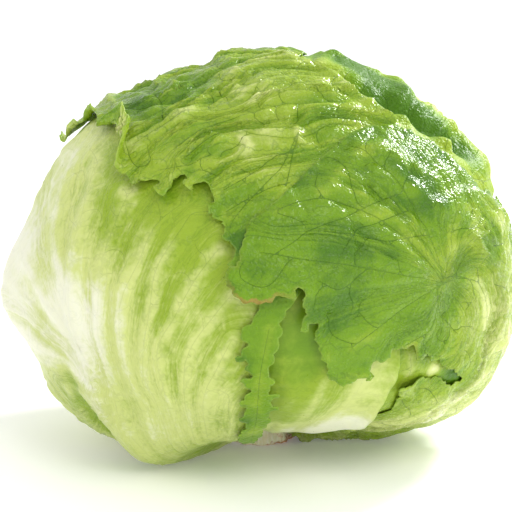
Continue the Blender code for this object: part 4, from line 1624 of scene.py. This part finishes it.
@dataclass
class Heart:
    """Packed inner leaves, one core with stepped margins."""

    gap: float = LEAF_GAP
    floor: float = 15.4 * MM
    step: float = 0.5 * MM
    layers: int = 8

    def build(self, finishes: Finishes) -> bpy.types.Object:
        """Builds and dresses the heart.

        Args:
            finishes: Where the materials come from.

        Returns:
            The piece.
        """
        mesh = bpy.data.meshes.new("heart_core")
        shape = bmesh.new()
        bmesh.ops.create_icosphere(shape, subdivisions=6, radius=1)
        rays = np.array([tuple(v.co) for v in shape.verts])
        radius = profile_radius(rays) - HEART_DEPTH - self.gap
        edge = np.full(len(rays), 20.0)
        for k in range(self.layers):
            toward = rays @ direction(137.5 * k, 30 - 9 * k)
            line = 0.62 + 0.02 * waves(rays, k, (0.2,) * 3)
            radius -= self.step * smooth_step((line - toward) / 0.03)
            edge = np.minimum(edge, np.abs(toward - line) * HEAD_DEPTH / MM)
        radius += 0.2 * MM * waves(rays, 99, (0.15,) * 3)
        places = rays * radius[:, None]
        places[:, 2] = np.maximum(places[:, 2] + CENTRE_HEIGHT, self.floor)
        for vert, place in zip(shape.verts, places):
            vert.co = place
        shape.to_mesh(mesh)
        shape.free()
        along = (math.pi / 2 + np.arcsin(np.clip(rays[:, 2], -1, 1))) * HEAD_DEPTH
        turn = np.arctan2(rays[:, 1], rays[:, 0]) * 40 * MM
        set_fields(mesh, green=0.15 + 0.25 * smooth_step(along / (math.pi * HEAD_DEPTH)),
                   vein=np.full(len(rays), 9.0), vein_size=np.full(len(rays), 0.3), edge=edge + 0.8,
                   relief=np.zeros(len(rays)), grain=np.stack([turn, along, np.zeros(len(rays))], axis=1),
                   scorch=np.zeros(len(rays)))
        mesh.shade_smooth()
        mesh.materials.append(finishes.leaf(Tissue("heart_tissue", "heart")))
        obj = bpy.data.objects.new("heart_core", mesh)
        return finish_piece(obj, "heart")


@dataclass
class Stump:
    """Cut stump: fibrous sides, an uneven browned cut face."""

    radius: float = 13.3 * MM
    height: float = 15 * MM
    chamfer: float = 0.9 * MM
    sides: int = 160
    rough: float = 0.45 * MM

    def profile(self) -> tuple[Array, Array]:
        """Radii and heights from the top's middle round to the middle of the cut face.

        Returns:
            Radii and heights, evenly spaced.
        """
        r, h = self.radius, self.height
        corners = np.array([(0.0, h), (0.82 * r, h), (0.97 * r, 0.75 * h), (r, 0.3 * h), (r, self.chamfer),
                            (r - self.chamfer, 0.0), (0.0, 0.0)])
        marks = np.concatenate([[0], np.cumsum(np.linalg.norm(np.diff(corners, axis=0), axis=1))])
        even = np.linspace(0, marks[-1], 64)
        return np.interp(even, marks, corners[:, 0]), np.interp(even, marks, corners[:, 1])

    def build(self, finishes: Finishes) -> bpy.types.Object:
        """Builds and dresses the stump.

        Args:
            finishes: Where the materials come from.

        Returns:
            The piece.
        """
        radii, heights = self.profile()
        turn = np.linspace(0, 2 * math.pi, self.sides, endpoint=False)
        rings = []
        for r, z in zip(radii[1:-1], heights[1:-1]):
            ring = np.stack([r * np.cos(turn), r * np.sin(turn), np.full(self.sides, z)], axis=1)
            coarse = waves(ring, 5, (5 * MM, 5 * MM, 16 * MM))
            lumps = coarse + 0.7 * waves(ring, 6, (1.6 * MM, 1.6 * MM, 9 * MM))
            worn = self.rough * (lumps - 1.1)
            ring[:, :2] *= (1 + worn / max(r, 4 * MM))[:, None]
            if z < 0.3 * MM:
                dish = 0.5 * MM * smooth_step(1 - r / (0.85 * self.radius))
                ring[:, 2] += dish + 0.25 * MM * np.clip(waves(ring, 8, (3 * MM,) * 3), 0, 1)
            rings.append(ring)
        verts = np.vstack([[[0, 0, self.height]], *rings, [[0, 0, 0.5 * MM]]])
        last, n = len(verts) - 1, self.sides
        faces = [(0, 1 + k, 1 + (k + 1) % n) for k in range(n)]
        for row in range(len(rings) - 1):
            a, b = 1 + row * n, 1 + (row + 1) * n
            faces += [(a + k, b + k, b + (k + 1) % n, a + (k + 1) % n) for k in range(n)]
        bottom = 1 + (len(rings) - 1) * n
        faces += [(last, bottom + (k + 1) % n, bottom + k) for k in range(n)]
        mesh = bpy.data.meshes.new("stem_cut")
        mesh.from_pydata([tuple(v) for v in verts], [], faces)
        turned = np.arctan2(verts[:, 0], -verts[:, 1])
        crust = 0.1 + 0.4 * smooth_step(1 - verts[:, 2] / (2.2 * MM))
        crust += 0.45 * np.exp(-((turned - 1.0) / 0.55) ** 2)
        set_fields(mesh, crust=crust)
        mesh.shade_smooth()
        mesh.materials.append(finishes.cut_stem())
        obj = bpy.data.objects.new("stem_cut", mesh)
        return finish_piece(obj, "stem")


@dataclass
class Studio:
    """Camera, pale floor and soft light."""

    target: tuple[float, float, float] = (-0.0012, 0.0, 0.0665)
    elevation: float = 12.0
    distance: float = 0.757
    lens: float = 150.0

    def camera(self) -> None:
        """Camera at the photograph's angle."""
        data = bpy.data.cameras.new("camera")
        data.lens = self.lens
        data.sensor_width = 36.0
        data.clip_start = 0.01
        obj = bpy.data.objects.new("camera", data)
        tilt = math.radians(self.elevation)
        away = Vector((0, -math.cos(tilt), math.sin(tilt))) * self.distance
        obj.location = Vector(self.target) + away
        obj.rotation_euler = (math.radians(90) - tilt, 0, 0)
        bpy.context.scene.collection.objects.link(obj)
        bpy.context.scene.camera = obj

    def softbox(self, name: str, place: tuple[float, float, float], size: float, power: float) -> None:
        """Square area light that faces the head.

        Args:
            name: Name of the light.
            place: Where it stands.
            size: Length of a side.
            power: Power in watts.
        """
        data = bpy.data.lights.new(name, "AREA")
        data.size = size
        data.energy = power
        obj = bpy.data.objects.new(name, data)
        obj.location = place
        obj.rotation_euler = (Vector(place) - Vector(self.target)).to_track_quat("Z", "Y").to_euler()
        bpy.context.scene.collection.objects.link(obj)

    def floor(self, finishes: Finishes) -> None:
        """Plain pale floor under the stump.

        Args:
            finishes: Where the material comes from.
        """
        mesh = bpy.data.meshes.new("floor")
        mesh.from_pydata([(x, y, 0) for x, y in ((-4, -4), (4, -4), (4, 4), (-4, 4))], [], [(0, 1, 2, 3)])
        mesh.materials.append(finishes.floor())
        obj = bpy.data.objects.new("floor", mesh)
        obj.location.z = -0.0002
        bpy.context.scene.collection.objects.link(obj)

    def build(self, finishes: Finishes) -> None:
        """Sets up the whole studio.

        Args:
            finishes: Where the floor's material comes from.
        """
        self.camera()
        self.floor(finishes)
        self.softbox("key", (0.47, 0.40, 0.48), 0.14, 5.8)
        self.softbox("front", (0.35, -0.75, 0.75), 0.50, 3.0)
        world = bpy.data.worlds.new("studio")
        world.use_nodes = True
        back = world.node_tree.nodes["Background"]
        back.inputs["Color"].default_value = (1, 1, 1, 1)
        back.inputs["Strength"].default_value = 1.0
        bpy.context.scene.world = world
        bpy.context.scene.view_settings.view_transform = "Standard"


# Dressing of each leaf

BLADES = {
    "leaf_rear": (
        Blade(spacing=1.7 * MM, green=(0.34, 0.5), rib_pale=0.16, band=0.08 * MM, fold=0.45 * MM,
              fold_size=(3 * MM, 40 * MM), crumple=0.2 * MM, food=4.0 * MM),
        Tissue("rear_tissue", "leaf_green", streak=0.22, vein_dark=0.45)),
    "leaf_right_rear": (
        Blade(spacing=1.3 * MM, green=(0.40, 0.62), rib_pale=0.15, blister=0.6 * MM, fold=0.6 * MM,
              fold_size=(3 * MM, 34 * MM), crumple=0.3 * MM, food=3.8 * MM,
              # These tones deepen the green along the recess under the crown's ridge: partly the tissue's own
              # colour, partly painted shade.
              tones=tones((112, 69, 9, 0.4), (92, 64, 9, 0.6), (78, 55, 10, 0.6), (70, 46, 9, 0.5),
                          (79, 40, 8, 0.6), (82, 30, 9, 0.5)),
              creases=(rib([(40, 70), (53, 60), (62, 52), (70, 42), (76, 37), (81, 33)],
                           (-2.0, -2.0), (4, 4)),
                       rib([(111, 69), (102, 59), (98, 50), (95, 42), (92, 33), (90, 24), (89, 17)],
                           (1.3, 1.3), (2.5, 2.5)))),
        Tissue("right_rear_tissue", "leaf_green", streak=0.3, vein_dark=0.6, crinkle=1.3,
               roughness=0.42, shine=0.22)),
    "leaf_left_rear": (
        Blade(spacing=1.6 * MM, green=(0.34, 0.55), rib_pale=0.16, band=0.08 * MM, fold=0.4 * MM,
              fold_size=(3 * MM, 40 * MM), crumple=0.2 * MM, food=4.0 * MM, tooth=1.3 * MM,
              tones=tones((-74, -34, 20, -0.22), (-58, -46, 16, -0.25))),
        Tissue("left_rear_tissue", "leaf_green", streak=0.22, vein_dark=0.45)),
    "leaf_under": (
        Blade(spacing=1.5 * MM, green=(0.6, 0.9), fold=0.2 * MM,
              tones=tones((46, -18, 3.5, -0.55), (54, -20, 7, 0.3), (35, -22, 12, -0.15))),
        Tissue("under_tissue", "leaf_green")),
    "leaf_front": (
        Blade(spacing=1.5 * MM, edge=Edge.SMOOTH, tooth=0.15 * MM, ruffle=0.0, blister=0.12 * MM,
              fold=0.1 * MM, wrinkle=0.04 * MM, groove=0.05 * MM, green=(0.28, 0.55), rib_pale=0.18,
              # The tone at (12, -34) deepens the green on the lower front leaf, which lies in shade: painted
              # shade.
              tones=tones((12, -5, 22, 0.32), (4, -20, 14, 0.16), (12, -34, 13, 0.12), (12, -52, 12, -0.1),
                          (30, -40, 12, -0.3)),
              curls=(curl(33, -25, 36, 4.0, 4.0),)),
        Tissue("front_tissue", "leaf_pale", streak=0.18, vein_dark=0.12, net=0.25, crinkle=0.25)),
    "leaf_left": (
        Blade(spacing=1.2 * MM, tooth=1.3 * MM, blister=0.22 * MM, fold=0.24 * MM, groove=0.10 * MM,
              band=0.14 * MM, wrinkle=0.08 * MM, food=4.0 * MM, green=(0.33, 0.58), rib_pale=0.13,
              # The tone at (-22, -56) deepens the green low at the base, where shade falls: painted shade.
              tones=tones((-22, -56, 15, 0.18), (-20, -22, 22, -0.02), (-16, 26, 20, 0.12),
                          (-70, 30, 26, -0.24), (-80, -2, 28, -0.44), (-47, -6, 18, -0.36),
                          (-40, -28, 12, -0.08)),
              creases=(rib([(-53, -20), (-53, -32), (-50, -44), (-50, -52)], (-1.2, -2.4), (4, 5)),)),
        Tissue("left_tissue", "leaf_pale", streak=0.13, vein_dark=0.35, net=0.35, crinkle=0.8)),
    "leaf_tongue": (
        Blade(spacing=1.1 * MM, edge=Edge.CRENATE, tooth=1.6 * MM, ruffle=0.3 * MM, blister=0.15 * MM,
              fold=0.1 * MM, green=(0.62, 0.95), rib_pale=0.1, groove=0.2 * MM,
              # These tones deepen the green down the tongue's left half, which lies in shade: painted shade.
              tones=tones((-5, -12, 5, 0.3), (-5, -30, 6, 0.3), (-5, -42, 5, 0.2))),
        Tissue("tongue_tissue", "leaf_green", net=0.2)),
    "leaf_crown": (
        Blade(spacing=1.05 * MM, tooth=1.1 * MM, lobe=1.7 * MM, ruffle=0.9 * MM, blister=0.7 * MM,
              fold=0.85 * MM, fold_size=(8.5 * MM, 34 * MM), crumple=0.4 * MM, wrinkle=0.14 * MM,
              groove=0.40 * MM, food=3.4 * MM, green=(0.56, 0.68), rib_pale=0.1,
              veins=(((-36, 45), (-45, 52), (-60, 56)), ((-14, 36), (-20, 33), (-28, 31)),
                     ((12, 42), (5, 24), (-1, 20)), ((12, 42), (10, 38), (3, 35), (-2, 31), (-9, 27)),
                     ((12, 42), (6, 33), (3, 30), (-3, 24), (-6, 20))),
              creases=(rib([(-22, 78), (-42, 68), (-42, 56), (-40, 46)], (-1.2, -0.8), (2.2, 2.0)),
                       rib([(-40, 56), (-46, 53), (-52, 49)], (-1.5, -1.3), (2.6, 2.2)),
                       rib([(-56, 66), (-64, 62)], (-1.5, -1.3), (2.6, 2.2)),
                       rib([(-19, 70), (-28, 62), (-28, 54), (-29, 46)], (0.9, 0.8), (2.0, 2.0)),
                       rib([(14, 49), (3, 48), (-3, 43)], (-1.2, -0.6), (2.2, 1.8)),
                       rib([(-5, 41), (-12, 37), (-16, 33)], (1.0, 0.5), (2.2, 1.8)),
                       rib([(16, 60), (0, 59), (-14, 57)], (-0.9, -0.6), (2.4, 1.8)),
                       rib([(8, 32), (4, 26)], (-0.8, -0.6), (2.2, 1.8)),
                       rib([(12, 45), (12, 40), (15, 38.5), (20, 38), (24, 40)], (1.4, 1.0), (1.3, 1.3))),
              curls=(curl(-50, 36, 18, 1.4, 10.5), curl(-29, 27, 5, 1.2, 1.8), curl(-13, 27, 5, 1.2, 1.8),
                     curl(-82, 41, 7, 1.3, 3.2), curl(-90, 35, 6, 1.2, 3.0), curl(-97, 29, 6, 1.2, 3.0)),
              frilled=tones((-93, 33, 12, 0.3), (-30, 28, 10, 0.25), (-14, 26, 8, 0.25)),
              still=tones((12, 42, 9, 0.8)),
              calm=tones((44, 62, 42, 1.6), (100, 78, 40, 1.2), (-97, 30, 16, 0.6), (-130, 48, 30, 1.0),
                         (-80, 42, 16, 1.0), (-54, 36, 20, 0.8)),
              tones=tones((-10, 20, 15, 0.10), (20, 34, 14, 0.10), (-94, 33, 12, -0.15),
                          (-50, 36, 9, -0.25), (-50, 52, 18, 0.10), (0, 46, 20, -0.20), (12, 41, 8, 0.14),
                          # The tone at (-4.4, 15) paints the dark slit beside the right leaf's margin:
                          # painted shade.
                          (-4.4, 15, 3.5, 0.6))),
        Tissue("crown_tissue", "leaf_green", streak=0.35, vein_dark=0.75, net=0.7, crinkle=1.3,
               roughness=0.24, shine=0.45)),
    "leaf_right": (
        Blade(spacing=1.05 * MM, tooth=0.8 * MM, lobe=0.9 * MM, ruffle=0.5 * MM, blister=0.55 * MM,
              fold=0.45 * MM, fold_size=(8 * MM, 24 * MM), crumple=0.25 * MM, wrinkle=0.12 * MM,
              groove=0.30 * MM, food=3.4 * MM, green=(0.46, 1.0), rib_pale=0.12, band=0.12 * MM,
              veins=(((41, 14), (30, 14), (25, 15), (14, 17)), ((37, 20), (27, 18), (22, 17), (18, 13)),
                     ((36, 24), (30, 23), (20, 20), (16, 19), (10, 17), (7, 15), (2, 12)),
                     ((24, 9), (17, 5), (12, 7)), ((42, 3), (43, -3), (49, -9)),
                     ((44, 4), (48, 4), (53, 2), (56, -3)), ((4, 21), (9, 19), (10, 17))),
              creases=(rib([(15, 26), (24, 32), (29, 35), (36, 35), (42, 30)], (1.4, 1.4), (2.4, 2.6)),
                       rib([(34, 28), (40, 24), (46, 18)], (1.0, 1.0), (2.0, 2.0)),
                       rib([(36, 22), (40, 18)], (-1.3, -1.0), (2.2, 2.0)),
                       rib([(46, 10), (53, 11), (58, 7)], (1.0, 0.8), (1.8, 1.8))),
              calm=tones((6, 26, 18, 1.4), (24, 38, 18, 1.4)),
              tones=tones((10, 5, 34, 0.1), (78, -15, 36, -0.22), (58, -2, 16, -0.14),
                          (45, -25, 14, 0.05), (56, -34, 14, -0.22), (95, -20, 30, -0.1), (36, -7, 15, 0.2)),
              still=tones((44, 3, 12, 0.9)),
              scorched=tones((-1, 3, 8, 1.0), (35, -11, 4, 0.3))),
        Tissue("right_tissue", "leaf_green", streak=0.3, vein_dark=0.75, net=0.6, crinkle=1.3, brown=0.7,
               roughness=0.24, shine=0.45)),
}


def main() -> None:
    """Builds every piece in order, then the studio."""
    logging.basicConfig(level=logging.INFO, format="%(name)s: %(message)s")
    finishes = Finishes()
    Studio().build(finishes)
    Stump().build(finishes)
    Heart().build(finishes)
    head = Head(LEAVES, TUCKED)
    for index, leaf in enumerate(LEAVES):
        blade, tissue = BLADES[leaf.name]
        Wrapper(head, index, blade, tissue).build(finishes)
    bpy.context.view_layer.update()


if __name__ == "__main__":
    main()
